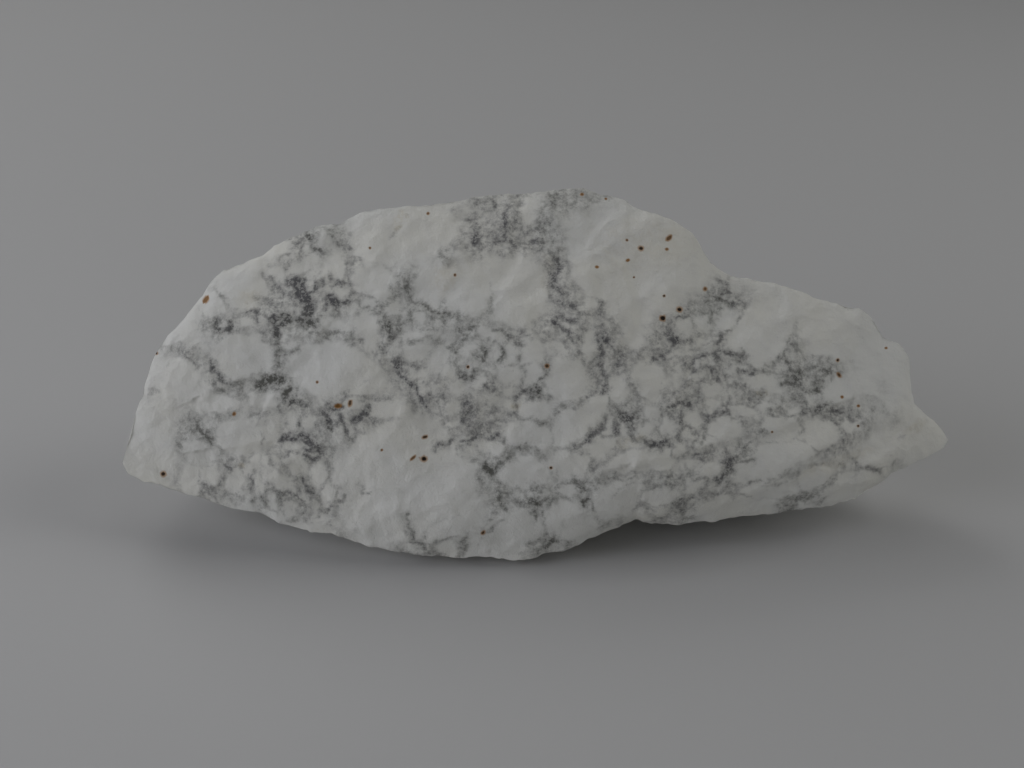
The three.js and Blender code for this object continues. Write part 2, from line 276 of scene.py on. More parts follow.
# %% The broad face
def face_height(u, w, to_lower, to_upper):
    """How far the face stands proud of its rim: the softened lowest plane, plus scoops, less the scarps."""
    planes = [
        1.2 + 0.62 * (w - bow_of(u)),  # rolls under towards the foot
        0.8 + 0.36 * to_upper,  # rolls back along the top
    ]
    planes += [proud + along_u * u + along_w * w for proud, along_u, along_w in FACE_PLANES]
    lip = 1 - np.exp(-soft_min([to_lower / 2.4, to_upper / 0.9], 0.3))
    inside = smoothstep(np.minimum(to_lower, to_upper), 0.5, 6)
    along = math.cos(GRAIN) * u + math.sin(GRAIN) * w
    across = math.cos(GRAIN) * w - math.sin(GRAIN) * u
    lumps = 0.55 * scoops(0.75 * along, across, 15, 3) + 0.3 * scoops(0.75 * along, across, 6.5, 9)
    lumps = lumps + 0.35 * hackle(along, across * 1.5, 21, 3.1)
    return np.maximum(lip * (soft_min(planes, SOFTNESS) + lumps - inside * scarp_depth(u, w)), 0)


# %% The back and the underside
def underside_depth(u, w):
    """How far behind its rim the underside lies: level under the foot, then rising to the two ends."""
    height = np.maximum(np.maximum(LEFT_RISE * (FOOT_LEFT - u), RIGHT_RISE * (u - FOOT_RIGHT)), -BURIED)
    return (FACE_HEIGHT + w * math.cos(LEAN) - height) / math.sin(LEAN) - rim_depth(u, w)


def back_depth(u, w, to_lower, to_upper):
    """How thick the stone is behind its rim: the softened lowest of the underside and the back's planes."""
    bevel = 7 + 4 * noise(u / 17, 4.4, 0.5)  # the break along the crest is wide or narrow
    planes = [
        4.2 * to_lower,  # the lower lip, down to the underside
        np.maximum(underside_depth(u, w), 0.5 * to_lower),
        3.1 * to_upper,  # the broken top, behind the crest
        bevel + 1.1 * to_upper,  # the back below it
    ]
    planes += [depth + along_u * u + along_w * w for depth, along_u, along_w in BACK_PLANES]
    rim = np.minimum(to_lower, to_upper)
    lumps = 3.4 * scoops(u - 0.3 * w, w, 25, 15) + 1.5 * scoops(u, w + 0.2 * u, 11, 21)
    lumps = lumps + 0.5 * hackle(u + 0.3 * w, 1.2 * w, 25, 21.5)
    lip = 1 - np.exp(-rim / 1.1)
    return np.maximum(lip * (soft_min(planes, BACK_SOFTNESS) + LIP_DEPTH) + smoothstep(rim, 0, 9) * lumps, 0)


# %% From the leaning plane into the stone
def carry(u, w, depth):
    """A point of the leaning plane carried into the stone, spreading by its depth over the sight length."""
    spread = 1 + depth / SIGHT_LENGTH
    rise = w * spread
    x = FACE_SHIFT + SIGHT_SHIFT + (u - SIGHT_SHIFT) * spread
    y = FACE_SETBACK + rise * math.sin(LEAN) + depth * math.cos(LEAN)
    z = FACE_HEIGHT + rise * math.cos(LEAN) - depth * math.sin(LEAN)
    return np.stack([x, y, np.maximum(z, -BURIED)], axis=-1)


# %% [markdown]
# ## The grid
#
# The two parameters are the station along the lump and the place round the ring at that station. The
# steps crowd where the sheets bend over the rim, and the first and last stations are single points, so
# the ends are closed. A remeshed block would have even faces everywhere and a blurred rim, and the marks
# could not be laid out on it. A fine crumble of the rim keeps its outline from looking drawn.

# %% Points of the two sheets
def spaced(points, count):
    """count + 1 places at even lengths along a line of points."""
    corners = np.array(points, float)
    lengths = np.concatenate([[0], np.cumsum(np.hypot(*np.diff(corners, axis=0).T))])
    wanted = np.linspace(0, lengths[-1], count + 1)
    return np.stack([np.interp(wanted, lengths, corners[:, axis]) for axis in (0, 1)], axis=-1)


def crowded_shares(steps):
    """Shares from 0 to 1, part even and part cosine, so that they crowd towards both ends."""
    even = np.linspace(0, 1, steps + 1)
    return EVEN_PART * even + (1 - EVEN_PART) * 0.5 * (1 - np.cos(np.pi * even))


RIM_CRUMBLE = 0.16  # how far the rim strays from its line
lower, upper = spaced(LOWER_RIM, STATIONS), spaced(UPPER_RIM, STATIONS)
inner = slice(1, STATIONS)
for rim, layer in ((lower, 31.0), (upper, 47.0)):
    crumble = noise(rim[inner, 0] / 1.7, layer, 0.5) + noise(rim[inner, 0] / 0.8, layer, 2.5)
    rim[inner, 1] += RIM_CRUMBLE * crumble

low, high = lower[inner, None, :], upper[inner, None, :]
span = np.linalg.norm(high - low, axis=-1)
front_shares = crowded_shares(FRONT_STEPS)[None, :]
back_shares = crowded_shares(BACK_STEPS)[None, -2:0:-1]


def sheet(shares, depth_of):
    """The leaning-plane places of one sheet and their depths, from each share up the ring."""
    places = low + (high - low) * shares[..., None]
    u, w = places[..., 0], places[..., 1]
    return u, w, rim_depth(u, w) + depth_of(u, w, shares * span, (1 - shares) * span)


front_u, front_w, front_depth = sheet(front_shares, lambda *place: -face_height(*place))
back_u, back_w, back_deep = sheet(back_shares, back_depth)
grid_u = np.concatenate([front_u, back_u], axis=1)
grid_w = np.concatenate([front_w, back_w], axis=1)
points = carry(grid_u, grid_w, np.concatenate([front_depth, back_deep], axis=1))
print("The rings hold", points.shape[0], "x", points.shape[1], "points")

# %% [markdown]
# ## Fine relief
#
# Broken magnesite is dull and dense, like chalk or unglazed china: shelly bowls a few millimetres wide
# with soft ridges between them, a fine tooth, and small chips. The relief moves each point along its own
# normal by a sum of noises and bowls in space, so it runs on over the rim without a seam. A bump in the
# material alone would leave the outline too smooth.

# %% Move each point along its normal
TIP_STATIONS = 16  # the relief fades out over this many rings towards either tip
TEETH = [(0.16, 3.6, 5.0), (0.08, 1.7, 7.0), (0.04, 0.9, 8.0)]  # height, size and noise layer of the tooth
BOWLS = [(0.26, 5.5, 2.0), (0.12, 2.5, 6.0)]  # and of the shelly bowls
CHIP_DEPTH = 0.5
CHIP_LEVEL = 0.75  # there is a chip only where two noises together pass this


def ring_normals(grid):
    """Outward normals of a closed ring grid: the cross product of the steps round and along it."""
    along = np.gradient(grid, axis=0)
    around = np.roll(grid, -1, axis=1) - np.roll(grid, 1, axis=1)
    normal = np.cross(along, around)
    return normal / np.maximum(np.linalg.norm(normal, axis=-1, keepdims=True), 1e-9)


TURN = np.array([[0.80, 0.36, -0.48], [-0.60, 0.48, -0.64], [0.0, 0.80, 0.60]])  # turns the noise lattice


def tooth(grid, size, layer):
    """Noise in space with lumps of one size, its lattice turned away from the axes of the stone."""
    x, y, z = np.moveaxis(grid @ TURN / size, -1, 0)
    return noise(x + layer, y, z)


def cell_point(i, j, k, layer):
    """Where a cell's own point lies in it: three fixed random numbers from 0 to 1."""
    return [corner_value(i + 17 * axis, j + layer, k + 5 * axis) for axis in range(3)]


def bowls(grid, size, layer):
    """Scoops in space, from about -1 to 1: the lowest of 27 tilted bowls, one to each cell of a lattice."""
    places = grid @ TURN / size
    base = np.floor(places)
    least = np.full(grid.shape[:-1], np.inf)
    for step in np.ndindex(3, 3, 3):
        corner = base + step - 1
        i, j, k = np.moveaxis(corner, -1, 0)
        middle = cell_point(i, j, k, layer)
        away = [places[..., axis] - corner[..., axis] - middle[axis] for axis in range(3)]
        tilt = sum(away[axis] * (corner_value(i + 31 + axis, j, k + layer) - 0.5) for axis in range(3))
        bowl = 0.5 * corner_value(i, j + layer, k + 41) + 0.9 * tilt + 0.7 * sum(part**2 for part in away)
        least = np.minimum(least, bowl)
    return 2.2 * least - 1


chips = np.maximum(tooth(points, 5.0, 3.0) + tooth(points, 2.4, 9.0) - CHIP_LEVEL, 0)
relief = sum(height * tooth(points, size, layer) for height, size, layer in TEETH) - CHIP_DEPTH * chips
relief = relief + sum(height * bowls(points, size, layer) for height, size, layer in BOWLS)
from_tip = np.minimum(np.arange(STATIONS - 1), np.arange(STATIONS - 1)[::-1])[:, None]
relief = relief * smoothstep(from_tip, 0, TIP_STATIONS)
points = points + relief[..., None] * ring_normals(points)
print("The fine relief moves a point by up to", round(float(np.abs(relief).max()), 2), "mm")

# %% [markdown]
# ## The marks of the broad face
#
# Nothing is painted on a picture. Each vein is a stroke laid over the broad face: how dark it is,
# how wide, and two or more points on the leaning plane. The white nodules between the veins are ellipses:
# they stay free of rubble, and where two of them touch there is a thin wall of film. Where the break
# crosses fine rubble it is grey all over, which is given as soft patches, and the stains and rust specks
# are small ellipses. A pattern of noise alone would look like any white stone, and this one is known by
# where its veins run. Every mark becomes a number on the points of the grid, and the material adds the
# grain that is finer than the grid.

# %% Veins of the left end, above
# Two of these strokes are painted shade, not veins: a faint one along a ledge right of the crest, and one on
# the lower edge beside the notch in the rim.
VEIN_AND_SHADE_STROKES = [  # darkness, width in millimetres, and the points u and w of each stroke
    (0.9, 1.8, (-45.2, 29.8), (-44.4, 29.0)), (0.65, 1.0, (-44.8, 28.2), (-43.8, 27.0), (-42.8, 26.8)),
    (0.6, 0.8, (-47.8, 28.6), (-46.6, 27.6), (-47.0, 26.2), (-47.6, 25.0)),
    (0.35, 0.6, (-53.4, 24.0), (-50.6, 24.6)), (0.35, 0.8, (-43.6, 30.4), (-43.0, 31.6)),
    (0.4, 0.6, (-49.2, 24.2), (-49.6, 22.8)), (0.45, 0.8, (-50.6, 25.4), (-50.2, 25.8)),
    (1, 2.8, (-48.2, 20.2), (-46.6, 19.8), (-46.4, 17.8)),
    (1, 3.0, (-46.8, 18.6), (-45.6, 16.8), (-45.4, 14.4), (-45.8, 12.4)),
    (0.8, 1.0, (-45.4, 18.0), (-43.4, 18.8), (-42.8, 20.6)),
    (0.7, 1.4, (-52.0, 19.4), (-50.0, 18.0), (-48.0, 17.4)), (0.45, 1.2, (-53.0, 21.0), (-51.6, 19.0)),
    (0.45, 2.0, (-55.6, 16.6), (-53.0, 16.0), (-50.2, 16.0), (-48.2, 15.8)),
    (0.7, 1.2, (-57.0, 15.2), (-55.6, 14.4), (-55.2, 13.0)),
    (0.4, 1.2, (-54.6, 14.6), (-52.0, 14.2), (-49.4, 15.0)),
    (0.9, 1.4, (-52.2, 12.8), (-50.0, 13.6), (-47.2, 13.0)),
    (0.4, 0.5, (-63.8, 18.6), (-62.2, 17.2), (-61.0, 16.2), (-60.6, 14.6)),
    (0.6, 1.4, (-64.8, 12.4), (-63.6, 12.8), (-62.6, 13.6)),
    (0.5, 1.4, (-40.2, 29.6), (-39.6, 31.0), (-38.8, 30.2)), (0.6, 1.0, (-38.8, 28.6), (-37.0, 27.4)),
    (0.3, 0.6, (-37.0, 26.8), (-35.6, 25.0)), (0.6, 1.2, (-35.8, 24.6), (-37.0, 23.2), (-37.0, 21.6)),
    (0.45, 0.8, (-37.0, 21.8), (-36.8, 19.8), (-36.6, 17.4)),
    (0.7, 1.0, (-40.8, 20.0), (-39.4, 20.8), (-37.0, 20.4)),
    (1, 1.8, (-41.2, 17.6), (-40.2, 16.6), (-39.0, 16.0)), (0.85, 1.4, (-39.2, 16.0), (-37.6, 16.2)),
    (0.85, 1.0, (-42.0, 15.0), (-41.2, 16.2)), (0.7, 1.4, (-41.6, 17.8), (-41.6, 14.6)),
    (0.5, 0.8, (-37.0, 17.8), (-35.8, 18.2), (-34.2, 17.4), (-32.4, 17.4)),
    (0.6, 0.8, (-35.4, 17.2), (-34.8, 15.2), (-32.6, 15.0)),
    (0.55, 0.8, (-32.6, 15.0), (-30.8, 15.2), (-29.6, 16.2)),
    (0.5, 0.8, (-30.8, 15.0), (-29.8, 13.2), (-29.4, 11.8)), (0.45, 0.6, (-32.6, 17.4), (-31.2, 16.2)),
    (0.25, 0.6, (-43.0, 23.2), (-42.6, 25.2), (-40.8, 26.8)),
]

# %% Veins of the middle, above
VEIN_AND_SHADE_STROKES += [
    (0.5, 0.8, (-29.0, 22.4), (-27.8, 22.2), (-27.0, 20.6)),
    (0.75, 1.8, (-25.6, 20.6), (-25.4, 18.8), (-24.8, 16.8)),
    (0.55, 1.0, (-28.8, 19.8), (-28.4, 18.2), (-28.8, 16.6)), (0.45, 0.8, (-28.4, 18.2), (-26.8, 17.6)),
    (0.75, 1.2, (-24.8, 16.8), (-22.0, 15.6), (-20.2, 14.2), (-18.0, 13.8)),
    (0.5, 0.8, (-20.2, 14.0), (-19.2, 15.0), (-18.2, 16.4)), (0.9, 1.2, (-18.2, 14.2), (-18.2, 13.2)),
    (0.6, 1.2, (-17.0, 13.4), (-15.6, 12.8), (-14.4, 11.8)), (0.5, 1.0, (-27.0, 15.6), (-24.0, 15.2)),
    (0.65, 1.2, (-25.4, 14.8), (-25.0, 12.6)), (0.5, 0.8, (-8.8, 16.4), (-9.0, 14.8), (-9.8, 12.6)),
    (0.25, 1.2, (-28.8, 29.6), (-27.6, 31.6), (-25.8, 33.8)), (0.5, 1.4, (-18.6, 26.6), (-18.0, 25.4)),
    (0.3, 2.4, (-16.0, 36.2), (-15.4, 33.8)), (0.45, 1.4, (-12.0, 37.0), (-11.6, 35.0)),
    (0.5, 1.0, (-10.4, 37.4), (-8.6, 37.0)), (0.85, 1.2, (-8.4, 36.4), (-8.2, 35.4)),
    (0.6, 0.8, (-7.8, 35.4), (-7.6, 32.2)), (0.5, 0.6, (-10.2, 34.6), (-10.4, 32.4)),
    (0.9, 1.6, (-11.6, 31.2), (-11.4, 29.6), (-12.0, 28.2)), (0.55, 1.0, (-11.4, 30.8), (-9.2, 31.0)),
    (0.7, 1.2, (-6.4, 34.2), (-5.4, 35.4), (-3.8, 34.8), (-3.4, 36.8)),
    (0.9, 1.2, (-6.2, 34.2), (-6.0, 32.4), (-5.8, 30.0)), (0.65, 1.2, (-5.2, 35.2), (-3.6, 33.4)),
    (0.6, 1.0, (-5.0, 31.8), (-4.2, 31.0)),
    (0.75, 1.4, (-8.6, 28.8), (-7.0, 28.0), (-5.6, 28.8), (-4.2, 27.8)),
    (0.65, 1.2, (-4.0, 29.2), (-2.0, 29.8), (-0.4, 30.6), (1.2, 30.6)),
    (0.75, 1.4, (-3.2, 28.2), (-1.4, 27.8), (0.0, 28.6), (1.4, 28.4)),
    (0.35, 1.0, (-2.8, 27.2), (-2.2, 25.8)), (0.4, 1.0, (-16.0, 27.4), (-14.4, 28.4), (-13.0, 28.8)),
    (0.45, 0.6, (-7.8, 37.4), (-5.0, 37.8), (-2.6, 38.0), (-0.2, 38.2)),
    (0.35, 0.6, (-2.2, 31.2), (-0.8, 30.2)),
]

# %% Veins to the right of the crest, and one stroke of painted shade
VEIN_AND_SHADE_STROKES += [
    (0.6, 1.6, (4.0, 36.6), (5.0, 37.6), (6.2, 38.6), (9.0, 38.8)),
    (0.45, 1.0, (5.6, 35.0), (7.2, 35.8), (9.0, 37.0)),
    (0.4, 0.8, (10.0, 35.8), (11.8, 37.0), (14.2, 37.8)),
    (0.6, 1.8, (4.0, 36.8), (2.6, 35.8), (1.6, 34.6), (2.2, 33.0)),
    (0.6, 1.4, (2.2, 33.0), (1.2, 31.6), (-0.2, 30.6)),
    (0.6, 1.2, (3.0, 32.0), (3.6, 29.8), (4.4, 28.6)), (0.6, 1.2, (1.2, 30.6), (1.6, 28.2), (1.0, 26.6)),
    (0.8, 1.4, (3.0, 26.4), (3.8, 25.2), (4.2, 23.6)), (0.85, 1.6, (4.0, 24.0), (4.6, 22.8), (4.2, 21.4)),
    (0.6, 1.0, (1.8, 24.4), (3.2, 23.6)), (0.95, 1.8, (3.4, 21.8), (3.6, 20.2), (4.4, 19.2)),
    (0.85, 1.4, (4.2, 19.4), (5.4, 18.0), (6.6, 17.4)), (0.4, 0.6, (6.6, 17.4), (8.4, 17.6)),
    (0.75, 1.2, (5.4, 17.6), (5.6, 15.8), (5.8, 13.4)),
    (0.75, 1.0, (6.4, 16.2), (8.2, 15.6), (9.0, 14.0), (7.8, 12.6), (6.2, 13.2)),
    (0.9, 1.4, (6.8, 13.2), (7.6, 12.8)), (0.7, 1.0, (9.2, 14.2), (10.6, 13.8), (11.8, 14.0)),
    (0.55, 1.2, (11.8, 13.8), (12.6, 15.0), (13.4, 16.0)), (0.2, 0.6, (17.0, 16.2), (16.8, 14.6)),
    (0.6, 1.4, (33.6, 15.8), (35.0, 16.6), (36.2, 17.4)), (0.75, 1.0, (37.4, 19.0), (37.4, 16.8)),
    (0.97, 2.0, (36.8, 16.4), (38.4, 16.4), (40.0, 15.8)),
    (0.85, 1.2, (36.2, 16.6), (35.4, 14.6), (34.8, 12.4)),
    (0.7, 0.8, (28.6, 12.6), (30.4, 13.4), (31.8, 15.2)), (0.3, 0.6, (31.8, 13.8), (32.8, 13.0)),
    # painted shade: this faint grey stroke stands for the shading along a low ledge of the break, not for a
    # vein
    (0.12, 0.8, (15.4, 23.8), (17.0, 21.8), (18.2, 19.6), (19.0, 16.8)),
]

# %% Veins of the left end
VEIN_AND_SHADE_STROKES += [
    (0.45, 0.8, (-74.4, 7.4), (-72.6, 7.2), (-71.0, 6.8)),
    (0.6, 1.0, (-71.0, 6.8), (-69.8, 5.8), (-68.6, 4.6), (-67.6, 3.6)),
    (0.45, 0.8, (-69.6, 6.4), (-67.8, 6.4)), (0.25, 0.6, (-67.6, 3.6), (-65.4, 2.8)),
    (0.9, 1.2, (-64.2, 12.6), (-63.6, 11.0), (-62.6, 10.4)),
    (0.9, 1.2, (-62.6, 10.4), (-61.4, 11.0), (-60.8, 12.8)), (0.45, 1.0, (-60.6, 11.2), (-58.4, 10.8)),
    (0.35, 1.0, (-67.2, 11.8), (-64.6, 12.6)), (0.3, 0.6, (-64.6, 10.4), (-65.2, 8.6), (-65.6, 6.4)),
    (0.3, 0.6, (-65.6, 6.4), (-65.0, 4.4)),
    (0.9, 1.2, (-65.0, 4.4), (-64.4, 2.8), (-63.4, 1.6), (-62.4, 0.6)),
    (0.65, 1.4, (-62.6, 0.6), (-61.0, -0.2), (-59.4, -0.2)), (0.4, 0.6, (-59.4, 0.2), (-57.2, -0.4)),
    (0.5, 1.4, (-61.4, -0.8), (-60.2, -2.0), (-59.0, -2.6)),
    (1, 1.8, (-52.6, 12.8), (-51.8, 11.2), (-51.8, 9.8)),
    (0.95, 1.4, (-51.8, 11.2), (-49.4, 12.4), (-47.6, 13.2), (-44.6, 12.4)),
    (0.9, 1.0, (-45.0, 13.2), (-44.0, 11.4)), (0.65, 1.4, (-51.6, 9.8), (-51.4, 7.8), (-51.6, 6.4)),
    (0.7, 1.8, (-51.6, 6.4), (-51.6, 5.2), (-51.2, 4.2)),
    (0.6, 1.2, (-51.0, 5.8), (-49.0, 6.6), (-47.2, 7.0)), (0.35, 0.5, (-51.4, 4.0), (-51.4, 2.2)),
    (0.3, 0.8, (-47.2, 10.2), (-46.0, 8.6)),
    (0.6, 1.0, (-45.0, 10.0), (-42.0, 10.0), (-39.0, 10.0), (-37.0, 10.0), (-36.0, 8.8), (-34.8, 8.6)),
    (0.3, 0.5, (-34.8, 8.6), (-34.2, 6.8)), (1, 2.6, (-55.2, 0.2), (-53.6, 1.0), (-51.0, 1.0)),
    (0.8, 1.4, (-55.6, -0.6), (-53.4, -0.6), (-51.2, -1.0)),
    (0.97, 1.6, (-50.4, -2.8), (-49.8, -1.6), (-48.8, -0.6)),
    (0.6, 0.6, (-48.8, 0.8), (-48.4, -0.8), (-47.2, -2.2)),
    (0.85, 1.6, (-48.8, -4.0), (-47.4, -3.6), (-46.4, -4.0)),
    (0.3, 1.0, (-77.6, -1.8), (-76.8, -1.0), (-75.4, -1.8)),
    (0.22, 1.2, (-73.0, -3.6), (-71.0, -4.0), (-69.6, -3.4)),
    (0.35, 0.8, (-68.6, -5.8), (-66.4, -6.6), (-63.8, -6.8)),
    (0.45, 1.0, (-64.0, -6.8), (-61.8, -6.0), (-60.2, -5.2), (-59.0, -4.4)),
    (0.5, 0.8, (-57.0, -6.2), (-54.6, -5.8)), (0.65, 1.0, (-54.8, -5.4), (-54.4, -6.4)),
    (0.35, 0.6, (-54.6, -6.4), (-54.0, -8.8)), (0.5, 0.8, (-52.4, -6.0), (-51.2, -5.2)),
    (0.8, 1.6, (-68.0, -7.8), (-67.0, -9.2), (-66.0, -10.0)),
    (0.7, 1.4, (-66.0, -10.0), (-65.0, -10.8), (-64.6, -11.8)),
    (0.4, 1.4, (-71.4, -9.0), (-71.8, -10.4), (-69.8, -10.2)),
    (0.7, 1.4, (-71.6, -11.4), (-70.6, -12.2)), (0.3, 1.0, (-70.2, -12.8), (-70.2, -14.8)),
    (0.5, 0.8, (-64.6, -11.8), (-63.0, -13.6), (-61.4, -15.6)),
    (0.35, 0.6, (-64.4, -9.2), (-63.6, -7.6), (-62.4, -7.2)),
    (0.25, 0.5, (-37.2, -1.6), (-35.6, -0.2), (-33.4, 0.6)),
]

# %% Veins of the left, below
VEIN_AND_SHADE_STROKES += [
    (0.8, 1.2, (-51.0, -11.6), (-50.2, -10.6), (-49.2, -9.6)),
    (0.8, 1.2, (-50.4, -11.4), (-48.8, -11.0), (-47.4, -10.6)),
    (0.85, 1.6, (-46.4, -10.4), (-45.0, -11.4), (-43.8, -12.0), (-42.6, -13.4)),
    (0.8, 1.2, (-45.6, -13.0), (-44.0, -12.8)), (0.6, 0.6, (-47.4, -6.6), (-47.2, -9.0)),
    (0.3, 0.8, (-50.0, -6.2), (-50.2, -8.6)), (0.45, 1.0, (-44.0, -7.6), (-43.4, -9.2)),
    (0.5, 1.2, (-43.0, -9.4), (-41.8, -11.0), (-42.2, -12.6)),
    (0.5, 1.0, (-42.6, -11.2), (-42.0, -13.6), (-41.8, -15.2), (-41.4, -17.6)),
    (0.45, 0.6, (-41.4, -17.6), (-40.8, -19.4), (-39.4, -21.0)),
    (0.65, 1.2, (-38.2, -22.2), (-38.4, -23.4), (-39.8, -24.0), (-41.4, -25.0), (-43.0, -25.2)),
    (0.4, 0.6, (-41.2, -26.2), (-38.2, -26.8)),
    (0.35, 0.8, (-41.4, -26.2), (-40.6, -28.2), (-39.6, -29.0)),
    (0.8, 1.2, (-61.8, -16.4), (-61.0, -17.0)), (0.6, 0.6, (-61.0, -16.8), (-59.0, -16.4)),
    (0.5, 1.0, (-59.0, -16.2), (-58.4, -15.2), (-57.2, -14.6)),
    (0.4, 0.8, (-61.2, -17.0), (-62.2, -18.0)),
    (0.6, 1.0, (-63.2, -18.8), (-63.2, -20.0), (-64.0, -21.0), (-65.8, -21.0), (-67.0, -21.8)),
    (0.6, 1.6, (-64.4, -22.6), (-65.4, -21.8)),
    (0.5, 0.8, (-61.4, -21.2), (-61.0, -22.6), (-61.6, -23.8)),
    (0.5, 0.8, (-61.0, -21.4), (-59.8, -22.8), (-58.2, -23.0)),
    (0.4, 1.0, (-59.0, -20.6), (-57.6, -21.8)),
    (0.65, 1.4, (-57.0, -19.0), (-56.4, -20.4), (-57.0, -21.8)),
    (0.4, 0.8, (-55.4, -20.4), (-54.6, -22.2)),
    (0.65, 1.0, (-54.6, -22.8), (-53.4, -21.6), (-52.4, -21.4), (-51.0, -22.2)),
    (0.65, 1.0, (-51.0, -22.2), (-49.0, -21.6), (-47.4, -22.6)),
    (0.55, 1.0, (-55.6, -23.8), (-54.4, -24.6), (-54.0, -22.8)),
    (0.45, 0.8, (-51.0, -12.6), (-50.8, -14.4), (-49.8, -14.8)),
    (0.4, 0.6, (-49.8, -14.8), (-49.0, -13.8), (-47.2, -13.2)),
    (0.4, 1.0, (-52.8, -14.2), (-52.0, -16.6)), (0.5, 0.8, (-50.4, -16.0), (-49.2, -18.0)),
    (0.65, 1.4, (-46.2, -14.0), (-44.8, -15.2), (-43.2, -14.8)),
    (0.75, 1.2, (-46.8, -19.2), (-46.0, -20.6), (-44.8, -21.8)),
    (0.5, 1.0, (-48.2, -19.6), (-47.2, -20.4)), (0.4, 0.6, (-44.8, -18.4), (-44.6, -21.0)),
    (0.6, 1.2, (-47.0, -23.2), (-46.0, -24.8), (-46.4, -26.2)),
    (0.5, 1.0, (-44.0, -23.0), (-43.0, -24.8), (-43.4, -26.2)),
    (0.4, 0.8, (-49.2, -27.4), (-47.4, -26.8)), (0.35, 0.8, (-50.6, -25.0), (-49.6, -26.4)),
    (0.35, 0.8, (-71.6, -17.0), (-71.6, -18.8), (-71.2, -20.6)),
    (0.4, 0.8, (-38.4, -30.2), (-37.4, -29.8)), (0.4, 1.0, (-35.6, -20.6), (-34.8, -21.4)),
    (0.5, 0.6, (-34.6, -22.2), (-33.0, -22.0)),
    (0.6, 1.0, (-42.8, -6.0), (-41.4, -6.0), (-40.4, -4.8), (-39.0, -3.8)),
    (0.95, 1.8, (-40.2, -5.0), (-39.2, -4.4)), (0.5, 0.6, (-39.0, -3.8), (-38.0, -2.6), (-37.0, -1.4)),
    (0.8, 1.6, (-41.8, -6.4), (-41.4, -8.0), (-40.6, -9.0)),
    (0.8, 1.2, (-39.0, -6.2), (-38.4, -8.2), (-37.6, -9.8)), (0.5, 1.2, (-41.0, -7.2), (-39.0, -7.8)),
    (0.5, 0.8, (-37.8, -6.6), (-35.6, -6.2)),
    (0.88, 1.6, (-36.6, -7.4), (-35.0, -7.0), (-33.8, -6.2), (-33.4, -5.0)),
    (0.4, 0.6, (-33.4, -4.8), (-32.2, -3.6), (-30.8, -2.6)), (0.5, 1.0, (-31.8, -2.8), (-29.2, -3.0)),
    (0.35, 0.6, (-33.0, -7.0), (-31.0, -8.0), (-29.4, -7.2), (-28.6, -6.4)),
    (0.35, 0.6, (-37.6, -9.8), (-37.0, -11.4)), (0.3, 0.8, (-31.2, -1.4), (-31.4, -2.6)),
]

